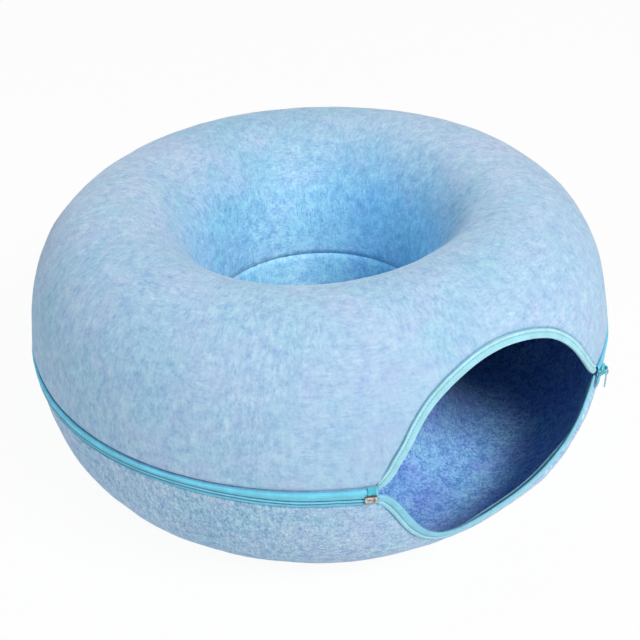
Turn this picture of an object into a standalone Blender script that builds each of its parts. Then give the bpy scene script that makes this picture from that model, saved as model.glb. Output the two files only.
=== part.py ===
"""Donut cat tunnel: two moulded felt half rings, zipped together round the outside.

Metres, +Z up. The origin is on the floor, at the middle of the hole. The front is -Y.
The mouth is an eye-shaped cut through both halves, with its edges bound in tape.
"""

import math

import bmesh
import bpy
from mathutils import Vector

# Driving dimensions of the ring
OUTER_RADIUS = 0.250
HOLE_RADIUS = 0.100
CREST_RADIUS = 0.164
HEIGHT = 0.230
FELT = 0.0040
FOOT_WIDTH = 0.024
OUTER_ROUNDNESS = 1.93
INNER_ROUNDNESS = 2.19

# Driving dimensions of the mouth, on the front right
MOUTH_ANGLE = math.radians(-54.5)
MOUTH_HALF_WIDTH = 0.119
MOUTH_RISE = 0.081
MOUTH_DROP = 0.0688
RISE_FULLNESS = 2.9
RISE_TAPER = 1.45
DROP_FULLNESS = 5.2
DROP_TAPER = 3.6
CORNER_LEVEL = 0.003
CORNER_BLEND = 3
BINDING_REACH_SHARE = 0.957
BINDING_SQUARE_SHARE = 0.80

# Driving dimensions of the zip and of the sewn tapes
TAPE_WIDTH = 0.0090
LOWER_TAPE_WIDTH = 0.0056
TAPE_THICKNESS = 0.0008
COIL_WIDTH = 0.0016
COIL_THICKNESS = 0.0012
CHAIN_GAP = 0.0012
THREAD = 0.0006
STITCH_MARGIN = 0.0016
LOWER_STITCH_MARGIN = 0.0010
BINDING_WIDTH = 0.0080
BINDING_THICKNESS = 0.0008
BINDING_STITCH = 0.0048

# Driving dimensions of the slider and of the pull that hangs from it
SLIDER_LENGTH = 0.0090
SLIDER_WIDTH = 0.0080
SLIDER_TAIL_WIDTH = 0.0066
SLIDER_CHAMFER = 0.0010
PLATE = 0.0009
NECK = 0.0005
NECK_LENGTH = 0.0062
BRIDGE_WIRE = 0.0010
LINK_WIRE = 0.0008
LINK_LENGTH = 0.0058
PULL_LENGTH = 0.0160
PULL_WIDTH = 0.0050
PULL_THICKNESS = 0.0010
PULL_RIM = 0.0009

# Driving dimensions of the stops at the two ends of the chain
BOX_LENGTH = 0.0090
BOX_WALL = 0.0008
STOP_LENGTH = 0.0024
TAPE_END_LENGTH = 0.0066
TAPE_END_DROP = 0.0075

# Clearances
FIT = 0.0003
TAPE_FIT = 0.00045
RUNNING_FIT = 0.0005
BINDING_EASE = 0.0009
OVERRUN = 0.004

# Facets
RING_STEPS = 60
OUTER_STEPS = 9
INNER_STEPS = 6
ZIP_STEP = math.radians(4)
EYE_STEPS = 32
BINDING_STEPS = 30
ROUND_STEPS = 8
FOLD_STEPS = 5
BEND_STEPS = 3
LINK_STEPS = 5
NEAR_SHARE = 0.1
SMOOTH_ANGLE = math.radians(35)

# Places worked out from the driving dimensions
MID_HEIGHT = HEIGHT / 2
OUTER_CENTRE = CREST_RADIUS + FOOT_WIDTH / 2
INNER_CENTRE = CREST_RADIUS - FOOT_WIDTH / 2
TAPE_INSIDE = OUTER_RADIUS + TAPE_FIT
TAPE_OUTSIDE = TAPE_INSIDE + TAPE_THICKNESS
COIL_INSIDE = TAPE_OUTSIDE + FIT
COIL_OUTSIDE = COIL_INSIDE + COIL_THICKNESS
CHAIN_EDGE = CHAIN_GAP / 2
TAPE_EDGE = CHAIN_EDGE + TAPE_WIDTH
COIL_EDGE = CHAIN_EDGE + COIL_WIDTH
STITCH_LEVEL = TAPE_EDGE - STITCH_MARGIN
LOWER_TAPE_EDGE = CHAIN_EDGE + LOWER_TAPE_WIDTH
LOWER_STITCH_LEVEL = LOWER_TAPE_EDGE - LOWER_STITCH_MARGIN
RIM_LEVEL = SLIDER_WIDTH / 2 + RUNNING_FIT
BINDING_END = math.asin(BINDING_REACH_SHARE * MOUTH_HALF_WIDTH / OUTER_RADIUS)
TAPE_START = BINDING_END + 2 * FIT / OUTER_RADIUS
STOP_START = TAPE_START + FIT / OUTER_RADIUS
STOP_END = STOP_START + STOP_LENGTH / OUTER_RADIUS
CHAIN_START = STOP_END + FIT / OUTER_RADIUS
SLIDER_OFFSET = CHAIN_START + (SLIDER_LENGTH / 2) / OUTER_RADIUS
BOX_END = STOP_START + BOX_LENGTH / OUTER_RADIUS
CHAIN_END = BOX_END + FIT / OUTER_RADIUS
CORNER_END = STOP_START + FIT / OUTER_RADIUS
FOLDED_END = TAPE_START + (TAPE_END_LENGTH + FIT) / OUTER_RADIUS
FULL_TURN = 2 * math.pi
QUARTER_TURN = math.pi / 2


def clear_scene():
    for item in list(bpy.data.objects):
        bpy.data.objects.remove(item, do_unlink=True)


def make_material(name, colour, roughness, metallic=0.0):
    material = bpy.data.materials.new(name)
    material.use_nodes = True
    shader = material.node_tree.nodes["Principled BSDF"]
    shader.inputs["Base Color"].default_value = (*colour, 1.0)
    shader.inputs["Roughness"].default_value = roughness
    shader.inputs["Metallic"].default_value = metallic
    return material


def add_object(name, mesh_data, material, location=(0, 0, 0), parent=None):
    """Turns a bmesh into a named object with its faces pointing outwards."""
    bmesh.ops.recalc_face_normals(mesh_data, faces=mesh_data.faces)
    mesh = bpy.data.meshes.new(name)
    mesh_data.to_mesh(mesh)
    mesh_data.free()
    mesh.shade_smooth()
    mesh.set_sharp_from_angle(angle=SMOOTH_ANGLE)
    if material:
        mesh.materials.append(material)
    item = bpy.data.objects.new(name, mesh)
    item.location = location
    item.parent = parent
    bpy.context.collection.objects.link(item)
    return item


def add_empty(name, location, rotation=(0, 0, 0), parent=None):
    empty = bpy.data.objects.new(name, None)
    empty.location = location
    empty.rotation_euler = rotation
    empty.parent = parent
    bpy.context.collection.objects.link(empty)
    return empty


def loft(loops, closed_path, channel=False):
    """Joins loops of equally many points with triangles, and caps the ends of an open path.

    A channel's loop is its outside followed by its inside in reverse, point for point, and its ends
    are closed with a row of four-sided faces between the two.
    """
    mesh_data = bmesh.new()
    rows = [[mesh_data.verts.new(point) for point in loop] for loop in loops]
    count = len(rows[0])
    pairs = list(zip(rows, rows[1:]))
    if closed_path:
        pairs.append((rows[-1], rows[0]))
    for first, second in pairs:
        for index in range(count):
            after = (index + 1) % count
            mesh_data.faces.new((first[index], first[after], second[after], second[index]))
    if channel:
        for row, way in ((rows[0], 1), (rows[-1], -1)):
            for index in range(count // 2 - 1):
                corners = (row[index], row[index + 1], row[count - 2 - index], row[count - 1 - index])
                mesh_data.faces.new(corners[::way])
    elif not closed_path:
        mesh_data.faces.new(rows[0])
        mesh_data.faces.new(list(reversed(rows[-1])))
    bmesh.ops.triangulate(mesh_data, faces=mesh_data.faces)
    return mesh_data


def ring_point(radius, angle, height):
    return Vector((radius * math.cos(angle), radius * math.sin(angle), height))


def arc_sweep(section, start, end, step, channel=False):
    """Sweeps a closed section of (radius, height) points round the ring's axis."""
    count = max(1, math.ceil((end - start) / step))
    angles = [start + (end - start) * index / count for index in range(count + 1)]
    loops = [[ring_point(r, angle, z) for r, z in section] for angle in angles]
    return loft(loops, False, channel)


def rectangle(low, high):
    return [(low[0], low[1]), (high[0], low[1]), (high[0], high[1]), (low[0], high[1])]


def prism(outline, low, high):
    """A prism of a (y, z) outline between two x values."""
    return loft([[Vector((x, y, z)) for y, z in outline] for x in (low, high)], False)


def tube(path, radius, closed_path, side_axis):
    """A round wire along a flat path. side_axis is the normal of the path's plane."""
    loops = []
    last = len(path) - 1
    for index, point in enumerate(path):
        before = path[index - 1] if index > 0 or closed_path else point
        after = path[(index + 1) % len(path)] if index < last or closed_path else point
        tangent = (after - before).normalized()
        across = tangent.cross(side_axis).normalized()
        turns = [FULL_TURN * turn / ROUND_STEPS for turn in range(ROUND_STEPS)]
        rays = [math.cos(t) * across + math.sin(t) * side_axis for t in turns]
        loops.append([point + radius * ray for ray in rays])
    return loft(loops, closed_path)


# The felt half rings
def wall_curve():
    """Outer face of a half ring from its outer rim over the crest to its inner rim.

    Both halves are moulded alike: a quarter round on each side of a flat ring, which is the foot
    of the lower half. Each entry is (radius, height above the seam, outward normal).
    """
    outer_reach = OUTER_RADIUS - OUTER_CENTRE
    inner_reach = INNER_CENTRE - HOLE_RADIUS
    start = math.asin((RIM_LEVEL / MID_HEIGHT) ** (OUTER_ROUNDNESS / 2))
    stop = math.asin((FIT / 2 / MID_HEIGHT) ** (INNER_ROUNDNESS / 2))
    points = []
    for index in range(OUTER_STEPS + 1):
        t = start + (QUARTER_TURN - start) * index / OUTER_STEPS
        across = abs(math.cos(t)) ** (2 / OUTER_ROUNDNESS)
        up = math.sin(t) ** (2 / OUTER_ROUNDNESS)
        points.append((OUTER_CENTRE + outer_reach * across, MID_HEIGHT * up))
    for index in range(INNER_STEPS + 1):
        t = QUARTER_TURN - (QUARTER_TURN - stop) * index / INNER_STEPS
        across = abs(math.cos(t)) ** (2 / INNER_ROUNDNESS)
        up = math.sin(t) ** (2 / INNER_ROUNDNESS)
        points.append((INNER_CENTRE - inner_reach * across, MID_HEIGHT * up))
    curve = []
    for index, (radius, height) in enumerate(points):
        before = points[max(index - 1, 0)]
        after = points[min(index + 1, len(points) - 1)]
        along = Vector((after[0] - before[0], after[1] - before[1])).normalized()
        normal = Vector((along.y, -along.x))
        if index in (0, len(points) - 1):
            normal = Vector((1 if index == 0 else -1, 0))
        curve.append((radius, height, normal))
    return curve


def make_shell(name, material, side, cutter):
    """One moulded felt half. side is +1 for the upper half and -1 for the lower half."""
    curve = wall_curve()
    outside = [(r, MID_HEIGHT + side * h) for r, h, normal in curve]
    inside = [(r - FELT * normal.x, MID_HEIGHT + side * (h - FELT * normal.y)) for r, h, normal in curve]
    section = outside + inside[::-1]
    angles = [FULL_TURN * index / RING_STEPS for index in range(RING_STEPS)]
    mesh_data = loft([[ring_point(r, angle, z) for r, z in section] for angle in angles], True)
    shell = add_object(name, mesh_data, material)
    cut = shell.modifiers.new("mouth", "BOOLEAN")
    cut.operation = "DIFFERENCE"
    cut.solver = "EXACT"
    cut.object = cutter
    return shell


# The mouth
def mouth_height(share, side):
    """How far the mouth's edge is from the seam, at a share of its half width.

    The edge rises steeply from its corners. Below the seam it runs level first and then drops.
    """
    reach, fullness, taper = MOUTH_RISE, RISE_FULLNESS, RISE_TAPER
    if side < 0:
        reach, fullness, taper = MOUTH_DROP, DROP_FULLNESS, DROP_TAPER
    height = reach * max(0.0, 1 - abs(share) ** fullness) ** taper
    return (height ** CORNER_BLEND + CORNER_LEVEL ** CORNER_BLEND) ** (1 / CORNER_BLEND)


def outer_wall(height):
    """Radius and outward normal (radial, vertical) of the outer wall at a height over the seam."""
    reach = OUTER_RADIUS - OUTER_CENTRE
    level = abs(height) / MID_HEIGHT
    across = (1 - level ** OUTER_ROUNDNESS) ** (1 / OUTER_ROUNDNESS)
    slope = Vector((across ** (OUTER_ROUNDNESS - 1) / reach, level ** (OUTER_ROUNDNESS - 1) / MID_HEIGHT))
    slope.normalize()
    return OUTER_CENTRE + reach * across, Vector((slope.x, math.copysign(slope.y, height)))


def mouth_edge(share, side, depth=0.0):
    """A point of the mouth's edge on the outer wall, moved inwards by depth, with its normal."""
    height = side * mouth_height(share, side)
    radius, slope = outer_wall(height)
    angle = MOUTH_ANGLE + math.asin(share * MOUTH_HALF_WIDTH / radius)
    normal = Vector((slope.x * math.cos(angle), slope.x * math.sin(angle), slope.y))
    return ring_point(radius, angle, MID_HEIGHT + height) - depth * normal, normal


def make_mouth_cutter():
    shares = [math.sin(QUARTER_TURN * (2 * index / EYE_STEPS - 1)) for index in range(EYE_STEPS)]
    edge = [(share, 1) for share in shares] + [(-share, -1) for share in shares]
    axis = Vector((math.cos(MOUTH_ANGLE), math.sin(MOUTH_ANGLE), 0))

    def loop_at(depth):
        return [mouth_edge(share, side, depth)[0] for share, side in edge]

    def flattened(loop, distance):
        return [point + (distance - point.dot(axis)) * axis for point in loop]

    outer, inner = loop_at(-OVERRUN), loop_at(FELT + OVERRUN)
    far = flattened(outer, OUTER_RADIUS + OVERRUN + OVERRUN)
    near = flattened(inner, CREST_RADIUS)
    cutter = add_object("mouth_cutter", loft([far, outer, inner, near], False), None)
    cutter.hide_render = True
    cutter.display_type = "WIRE"
    return cutter


def edge_frames(side, reach):
    """Frames along the mouth's edge: the point on the wall's middle, the normal, the way into the felt.

    Towards the corners the way into the felt turns upright, so the tape is cut square to the zip.
    """
    frames = []
    for index in range(BINDING_STEPS + 1):
        share = reach * math.sin(QUARTER_TURN * (2 * index / BINDING_STEPS - 1))
        step = NEAR_SHARE * reach / BINDING_STEPS
        middle, normal = mouth_edge(share, side, FELT / 2)
        ahead = mouth_edge(share + step, side, FELT / 2)[0]
        behind = mouth_edge(share - step, side, FELT / 2)[0]
        into = (ahead - behind).normalized().cross(normal).normalized()
        if into.z * side < 0:
            into = -into
        upright = Vector((0, 0, side))
        upright = (upright - upright.dot(normal) * normal).normalized()
        turn = max(0.0, (abs(share) - BINDING_SQUARE_SHARE) / (reach - BINDING_SQUARE_SHARE))
        frames.append((middle, normal, into.lerp(upright, turn).normalized()))
    return frames


def binding_section():
    """The folded tape's section as a channel: (way into the felt, way out along the normal)."""
    outer_face = FELT / 2 + FIT
    inner_face = FELT / 2 + BINDING_EASE
    turns = [QUARTER_TURN * (1 - 2 * index / FOLD_STEPS) for index in range(1, FOLD_STEPS)]

    def side_of(reach):
        points = [(BINDING_WIDTH, outer_face + reach), (-FIT, outer_face + reach)]
        for t in turns:
            level = outer_face + reach if t > 0 else inner_face + reach
            points.append((-FIT - reach * math.cos(t), level * math.sin(t)))
        return points + [(-FIT, -inner_face - reach), (BINDING_WIDTH, -inner_face - reach)]

    return side_of(BINDING_THICKNESS) + side_of(0)[::-1]


def make_binding(name, material, side):
    section = binding_section()
    loops = []
    for middle, normal, into in edge_frames(side, BINDING_REACH_SHARE):
        loops.append([middle + b * into + n * normal for b, n in section])
    return add_object(name, loft(loops, False, channel=True), material)


def make_mouth_stitching(name, material, side):
    """The thread that runs along the binding, on its outside."""
    level = FELT / 2 + FIT + BINDING_THICKNESS + FIT
    section = rectangle((BINDING_STITCH, level), (BINDING_STITCH + THREAD, level + THREAD))
    loops = []
    for middle, normal, into in edge_frames(side, BINDING_REACH_SHARE - FIT / MOUTH_HALF_WIDTH):
        loops.append([middle + b * into + n * normal for b, n in section])
    return add_object(name, loft(loops, False), material)


# The zip
def ring_band(name, material, radii, levels, start, end):
    """A band round the ring between two angles, counted from the middle of the mouth."""
    section = rectangle((radii[0], MID_HEIGHT + min(levels)), (radii[1], MID_HEIGHT + max(levels)))
    band = arc_sweep(section, MOUTH_ANGLE + start, MOUTH_ANGLE + end, ZIP_STEP)
    return add_object(name, band, material)


def make_zip_half(half, materials, side):
    """The tape, the coil and the sewing thread of one half. The lower tape is trimmed narrow."""
    edge, seam = (TAPE_EDGE, STITCH_LEVEL) if side > 0 else (LOWER_TAPE_EDGE, LOWER_STITCH_LEVEL)
    tape = (TAPE_INSIDE, TAPE_OUTSIDE)
    coil = (COIL_INSIDE, COIL_OUTSIDE)
    thread = (TAPE_OUTSIDE + FIT, TAPE_OUTSIDE + FIT + THREAD)
    ring_band(half + "_zip_tape", materials["tape"], tape,
              (side * CHAIN_EDGE, side * edge), TAPE_START, FULL_TURN - TAPE_START)
    ring_band(half + "_zip_coil", materials["coil"], coil,
              (side * CHAIN_EDGE, side * COIL_EDGE), CHAIN_START, FULL_TURN - CHAIN_END)
    start, end = (TAPE_START, FOLDED_END) if side > 0 else (FOLDED_END, TAPE_START)
    ring_band(half + "_zip_stitching", materials["thread"], thread,
              (side * seam, side * (seam - THREAD)), start, FULL_TURN - end)


def make_top_stop(name, material, side):
    """The lump that ends one side of the chain behind the slider."""
    levels = (side * CHAIN_EDGE, side * (COIL_EDGE + FIT))
    ring_band(name, material, (COIL_INSIDE, COIL_OUTSIDE + FIT), levels, STOP_START, STOP_END)


def make_insertion_pin(material):
    """The pin at the end of the upper tape, which stands in the retainer box."""
    ring_band("insertion_pin", material, (COIL_INSIDE, COIL_OUTSIDE), (CHAIN_EDGE, COIL_EDGE),
              -BOX_END, -CORNER_END)


def make_retainer_box(material):
    """The cap over the ends of both tapes: a face with a wall above and one below."""
    inside = COIL_OUTSIDE + FIT
    outside = inside + BOX_WALL
    edge = COIL_EDGE + FIT
    rim = edge + BOX_WALL
    section = [(COIL_INSIDE, rim), (outside, rim), (outside, -rim), (COIL_INSIDE, -rim),
               (COIL_INSIDE, -edge), (inside, -edge), (inside, edge), (COIL_INSIDE, edge)]
    section = [(r, MID_HEIGHT + z) for r, z in section]
    cap = arc_sweep(section, MOUTH_ANGLE - BOX_END, MOUTH_ANGLE - STOP_START, ZIP_STEP, channel=True)
    add_object("retainer_box", cap, material)


def make_tape_ends(material):
    """The free ends of the tapes, folded back: the upper one at the left, the lower at the right."""
    radii = (TAPE_OUTSIDE + FIT, TAPE_OUTSIDE + FIT + TAPE_THICKNESS)
    fold = TAPE_END_LENGTH / OUTER_RADIUS
    box_edge = COIL_EDGE + FIT + BOX_WALL + FIT
    ring_band("upper_tape_end", material, radii, (box_edge, TAPE_EDGE), -TAPE_START - fold, -TAPE_START)
    slider_edge = SLIDER_WIDTH / 2 + FIT
    ring_band("lower_tape_end", material, radii, (-slider_edge, -slider_edge - TAPE_END_DROP),
              TAPE_START, TAPE_START + fold)


# The slider and its pull. In the slider's own axes X points out of the ring and Y runs along the chain.
def slider_outline():
    """The plates' outline: wide and chamfered at the front, narrower at the tail."""
    half, tail = SLIDER_WIDTH / 2, SLIDER_TAIL_WIDTH / 2
    front, back = -SLIDER_LENGTH / 2, SLIDER_LENGTH / 2
    chamfer = SLIDER_CHAMFER
    return [(front, half - chamfer), (front + chamfer, half), (0, half), (back, tail),
            (back, -tail), (0, -half), (front + chamfer, -half), (front, chamfer - half)]


def make_slider_body(material, parent):
    inner_out = -FIT - TAPE_FIT
    inner_in = inner_out - PLATE
    outer_in = COIL_OUTSIDE + RUNNING_FIT - TAPE_INSIDE
    outer_out = outer_in + PLATE
    wall_in = TAPE_THICKNESS + RUNNING_FIT
    wall_inside = COIL_EDGE + RUNNING_FIT
    outline = slider_outline()
    body = add_object("slider_body", prism(outline, outer_in, outer_out), material,
                      (TAPE_INSIDE, 0, 0), parent)
    neck_start = NECK - SLIDER_LENGTH / 2
    neck = rectangle((neck_start, -NECK / 2), (neck_start + NECK_LENGTH, NECK / 2))
    pieces = [prism(outline, inner_in, inner_out),
              prism(neck, inner_in + PLATE / 2, outer_out - PLATE / 2)]
    for side in (1, -1):
        upper = [(y, side * z) for y, z in outline if z > 0]
        wall = upper + [(upper[-1][0], side * wall_inside), (upper[0][0], side * wall_inside)]
        pieces.append(prism(wall, wall_in, outer_out - PLATE / 2))
    for index, piece in enumerate(pieces):
        joined = add_object("slider_tool_%d" % index, piece, None, (TAPE_INSIDE, 0, 0), parent)
        joined.hide_render = True
        joined.display_type = "WIRE"
        union = body.modifiers.new("join_%d" % index, "BOOLEAN")
        union.operation = "UNION"
        union.solver = "EXACT"
        union.object = joined
    return outer_out


def bridge_height():
    """Height of the bridge's wire over the slider's face, which lets the link turn under it."""
    return BRIDGE_WIRE / 2 + FIT + LINK_WIRE + FIT


def make_slider_bridge(material, parent, face):
    """The arch on the slider's face that the pull's link hangs from."""
    top = bridge_height()
    foot = BRIDGE_WIRE / 2
    half = SLIDER_LENGTH / 2 - BRIDGE_WIRE
    bend = top - foot
    path = [Vector((FIT, -half, 0)), Vector((foot, -half, 0))]
    for index in range(1, BEND_STEPS + 1):
        t = QUARTER_TURN * index / BEND_STEPS
        path.append(Vector((foot + bend * math.sin(t), -half + bend * (1 - math.cos(t)), 0)))
    path += [Vector((point.x, -point.y, 0)) for point in reversed(path)]
    mesh_data = tube(path, BRIDGE_WIRE / 2, False, Vector((0, 0, 1)))
    return add_object("slider_bridge", mesh_data, material, (TAPE_INSIDE + face, 0, 0), parent)


def link_half_width():
    return PULL_THICKNESS / 2 + FIT + LINK_WIRE / 2


def link_top():
    return BRIDGE_WIRE / 2 + FIT + LINK_WIRE / 2


def link_bottom():
    return link_top() - LINK_LENGTH + LINK_WIRE


def make_pull_link(material, parent):
    """The oval wire link round the bridge. Its origin is on the bridge's wire."""
    half = link_half_width()
    high, low = link_top() - half, link_bottom() + half
    path = []
    for centre, first in ((high, 0), (low, math.pi)):
        for index in range(LINK_STEPS + 1):
            t = first + math.pi * index / LINK_STEPS
            path.append(Vector((half * math.cos(t), 0, centre + half * math.sin(t))))
    return add_object("pull_link", tube(path, LINK_WIRE / 2, True, Vector((0, 1, 0))), material,
                      parent=parent)


def make_pull_tab(material, parent):
    """The flat pull with the hole that the link goes through. Its origin is in the hole."""
    hole = LINK_WIRE / 2 + FIT
    eye = hole + PULL_RIM
    half = PULL_WIDTH / 2
    lowest = eye - PULL_LENGTH
    outer = []
    for centre, radius, first in ((0, eye, 0), (lowest + half, half, math.pi)):
        for index in range(ROUND_STEPS + 1):
            t = first + math.pi * index / ROUND_STEPS
            outer.append((radius * math.cos(t), centre + radius * math.sin(t)))
    turns = [FULL_TURN * index / len(outer) for index in range(len(outer))]
    inner = [(hole * math.cos(t), hole * math.sin(t)) for t in turns]
    mesh_data = bmesh.new()
    faces = (-PULL_THICKNESS / 2, PULL_THICKNESS / 2)
    rows = [[mesh_data.verts.new((x, y, z)) for y, z in loop] for x in faces for loop in (outer, inner)]
    for one, two in ((0, 1), (1, 3), (3, 2), (2, 0)):
        for index in range(len(outer)):
            after = (index + 1) % len(outer)
            mesh_data.faces.new((rows[one][index], rows[one][after], rows[two][after], rows[two][index]))
    bmesh.ops.triangulate(mesh_data, faces=mesh_data.faces)
    return add_object("pull_tab", mesh_data, material, parent=parent)


def make_materials():
    return {
        "felt": make_material("blue_felt", (0.34, 0.56, 0.80), 0.95),
        "tape": make_material("cyan_zip_tape", (0.25, 0.69, 0.91), 0.70),
        "binding": make_material("cyan_edge_binding", (0.38, 0.74, 0.88), 0.75),
        "coil": make_material("cyan_nylon_coil", (0.20, 0.64, 0.85), 0.40),
        "thread": make_material("cyan_thread", (0.14, 0.46, 0.62), 0.60),
        "slider": make_material("cyan_painted_zinc", (0.10, 0.58, 0.68), 0.35),
        "link": make_material("steel_link", (0.55, 0.60, 0.62), 0.30, 1.0),
        "stop": make_material("beige_nylon", (0.72, 0.66, 0.55), 0.50),
    }


def build():
    clear_scene()
    materials = make_materials()
    cutter = make_mouth_cutter()
    for half, side in (("upper", 1), ("lower", -1)):
        make_shell(half + "_shell", materials["felt"], side, cutter)
        make_zip_half(half, materials, side)
        make_binding(half + "_mouth_binding", materials["binding"], side)
        make_mouth_stitching(half + "_mouth_stitching", materials["thread"], side)
        make_top_stop(half + "_top_stop", materials["coil"], side)
    make_insertion_pin(materials["stop"])
    make_retainer_box(materials["stop"])
    make_tape_ends(materials["tape"])
    turn = add_empty("slider_axis", (0, 0, MID_HEIGHT), (0, 0, MOUTH_ANGLE + SLIDER_OFFSET))
    face = make_slider_body(materials["slider"], turn)
    make_slider_bridge(materials["slider"], turn, face)
    link_axis = add_empty("link_axis", (TAPE_INSIDE + face + bridge_height(), 0, 0), parent=turn)
    make_pull_link(materials["link"], link_axis)
    tab_axis = add_empty("tab_axis", (0, 0, link_bottom()), parent=link_axis)
    make_pull_tab(materials["slider"], tab_axis)


build()
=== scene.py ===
"""Donut cat tunnel of light blue felt: two moulded half rings zipped together round the outside.

Metres, +Z up. The sections follow the order in which the real tunnel is put together. A side is 1
for the upper half and -1 for the lower. Names that end in MM hold millimetres, and tables by angle
hold degrees round the ring.
"""

import math

import bmesh
import bpy
import numpy as np
from mathutils import Matrix, Vector, noise


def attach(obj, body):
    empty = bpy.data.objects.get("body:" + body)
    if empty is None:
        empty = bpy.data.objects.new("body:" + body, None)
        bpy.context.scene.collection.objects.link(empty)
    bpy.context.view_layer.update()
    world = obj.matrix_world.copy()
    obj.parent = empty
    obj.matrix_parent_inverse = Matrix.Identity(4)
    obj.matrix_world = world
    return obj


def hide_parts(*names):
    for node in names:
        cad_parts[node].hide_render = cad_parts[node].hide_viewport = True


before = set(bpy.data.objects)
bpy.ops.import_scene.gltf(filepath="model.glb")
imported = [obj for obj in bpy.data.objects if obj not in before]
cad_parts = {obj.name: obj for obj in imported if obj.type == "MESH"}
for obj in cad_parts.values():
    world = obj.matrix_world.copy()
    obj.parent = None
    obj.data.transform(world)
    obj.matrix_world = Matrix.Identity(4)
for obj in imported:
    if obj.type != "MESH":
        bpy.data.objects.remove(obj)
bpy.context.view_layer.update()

# The felt halves. Each is a half ring of needled felt about 4 mm thick, pressed over a mould. The
# felt is blended from pale, turquoise, lavender and deeper blue fibres. The mouth is cut through
# both halves before its edge is taped, and the two meet edge to edge round the hole.
SEAM_HEIGHT = 0.115
FELT_RADIUS, OUTER_ROUNDNESS = 0.2486, 2.21
HOLE_RADIUS, INNER_ROUNDNESS = 0.0976, 2.39
CREST_RADIUS = 0.1688
CURVE_POINTS = 700
RIM_LEVEL = 0.0045
MOUTH_ANGLE = math.radians(-54.5)
BINDING_END = math.radians(27.1)
MM_PER_DEGREE = 4.34
CUT_ANGLES = (-81.6, -81.0, -80.2, -79.0, -77.6, -76.0, -74.0, -71.5, -68.5, -65.0, -61.0, -56.0, -51.0,
              -46.5, -43.0, -40.0, -37.5, -35.0, -32.5, -30.5, -28.8, -27.4)
CUT_HEIGHTS_MM = {
    1: (3.4, 5.6, 8.2, 14.2, 24.7, 35.4, 49.4, 61.0, 69.3, 75.7, 80.3, 82.3, 80.5, 75.8, 69.4, 60.0, 48.9,
        34.6, 20.6, 11.2, 5.2, 2.6),
    -1: (2.4, 2.8, 4.2, 9.0, 17.8, 30.2, 44.6, 57.4, 67.0, 70.8, 67.6, 61.8, 57.8, 53.4, 48.8, 44.4, 39.6,
         33.0, 23.2, 13.2, 6.2, 2.2)}
EDGE_FELT_MM = {1: ((0, 1, 3, 6.4, 13), (1.8, 2.0, 2.4, 2.8, 3.7)),
                -1: ((0, 1, 3, 5, 8.2, 15), (0.9, 1.1, 1.8, 2.4, 2.7, 3.7))}
TAPE_EDGE = {1: 0.0073, -1: 0.0066}
BINDING_WIDTH = {1: 0.0064, -1: 0.0082}
BINDING_CLOTH = 0.00062
BINDING_FACE_MM = {1: ((-0.4, 0.2, 1.0, 2.2, 3.0, 3.6, 4.2, 5.0, 5.7, 6.1, 6.4),
                       (0.15, 0.45, 0.55, 0.40, 0.0, -0.35, 0.0, 0.45, 0.50, 0.28, -0.10)),
                   -1: ((-0.4, 0.2, 1.2, 3.0, 4.1, 4.6, 5.1, 6.0, 7.2, 7.9, 8.2),
                        (0.15, 0.40, 0.48, 0.36, 0.05, -0.60, 0.05, 0.46, 0.54, 0.32, -0.10))}
BESIDE_TAPE_MM = {1: ((-3, -1.5, -0.4, 0.1, 0.6, 1.1, 1.8, 4, 10, 22),
                      (1.1, 0.8, -0.1, -1.0, -1.1, -0.2, 0.6, 1.2, 0.8, 0)),
                  -1: ((-2, -0.6, 0.2, 0.8, 2, 6, 14, 30, 40), (0.9, 0.2, 0, 0.8, 1.3, 1.0, 0.3, 0, 0))}
BESIDE_BINDING_MM = {1: ((0, 0.4, 0.9, 2, 3.6, 7, 14, 30), (-0.8, -1.3, -1.0, -0.1, 0.4, 0.5, 0.2, 0)),
                     -1: ((0, 0.4, 0.9, 2, 3.6, 7, 14, 30), (-0.8, -1.3, -1.0, -0.6, -0.5, -0.6, -0.5, 0))}
SEAM_DRIFT_MM = ((-180, -160, -148, -140, -135, -127, -120, -112, -105, -99, -95, -88, -84, -81.5, -78, 180),
                 (0, -0.4, -1.0, -1.0, -0.6, 0.2, 1.1, 1.35, 0.55, -0.7, -1.4, -1.1, -2.0, -2.4, 0, 0))
RIM_DRIFT_MM = {
    1: ((-180, -150, -135, -126, -112, -98, -84, -78, 180), (0, -1.5, -1.5, -1.4, -1.1, -0.8, -0.3, 0, 0)),
    -1: ((-180, -150, -125, -112, -100, -90, -82, -78, 180), (0, 2.4, 3.2, 2.4, 0.4, -0.5, -0.6, 0, 0))}
DRIFT_FADE = 0.025
CREASE_LEVEL = 0.0034
LUMPS = ((0.0008, 0.055, 3.1), (0.0004, 0.018, 7.7))
MOUTH_BULGE = 0.0018
CREST_RISE = 0.0048
RISE_ANGLE, RISE_SPREAD = math.radians(-50), math.radians(26)
ROLL_SIZE = 0.004
FIBRE_DRUM = 0.175
PLAIN_GRAIN, STRONG_GRAIN = 1.1, 1.7
HALF_COLUMNS, NEAR_ROWS, FAR_ROWS, INSIDE_ROWS = 330, 28, 46, 36
NEAR_REACH = 0.021
HALVES = (("lower", -1), ("upper", 1))


def put_in_scene(name, mesh, material):
    """Makes a shown, smooth-shaded object of a mesh, with one material."""
    mesh.name = name
    mesh.materials.clear()
    mesh.materials.append(material)
    mesh.shade_smooth()
    piece = bpy.data.objects.new(name, mesh)
    bpy.context.scene.collection.objects.link(piece)
    return piece


def add_piece(name, mesh, material, nodes, body):
    """Shows a piece in the place of its CAD nodes, on its moving body."""
    piece = put_in_scene(name, mesh, material)
    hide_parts(*nodes)
    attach(piece, body)


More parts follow.
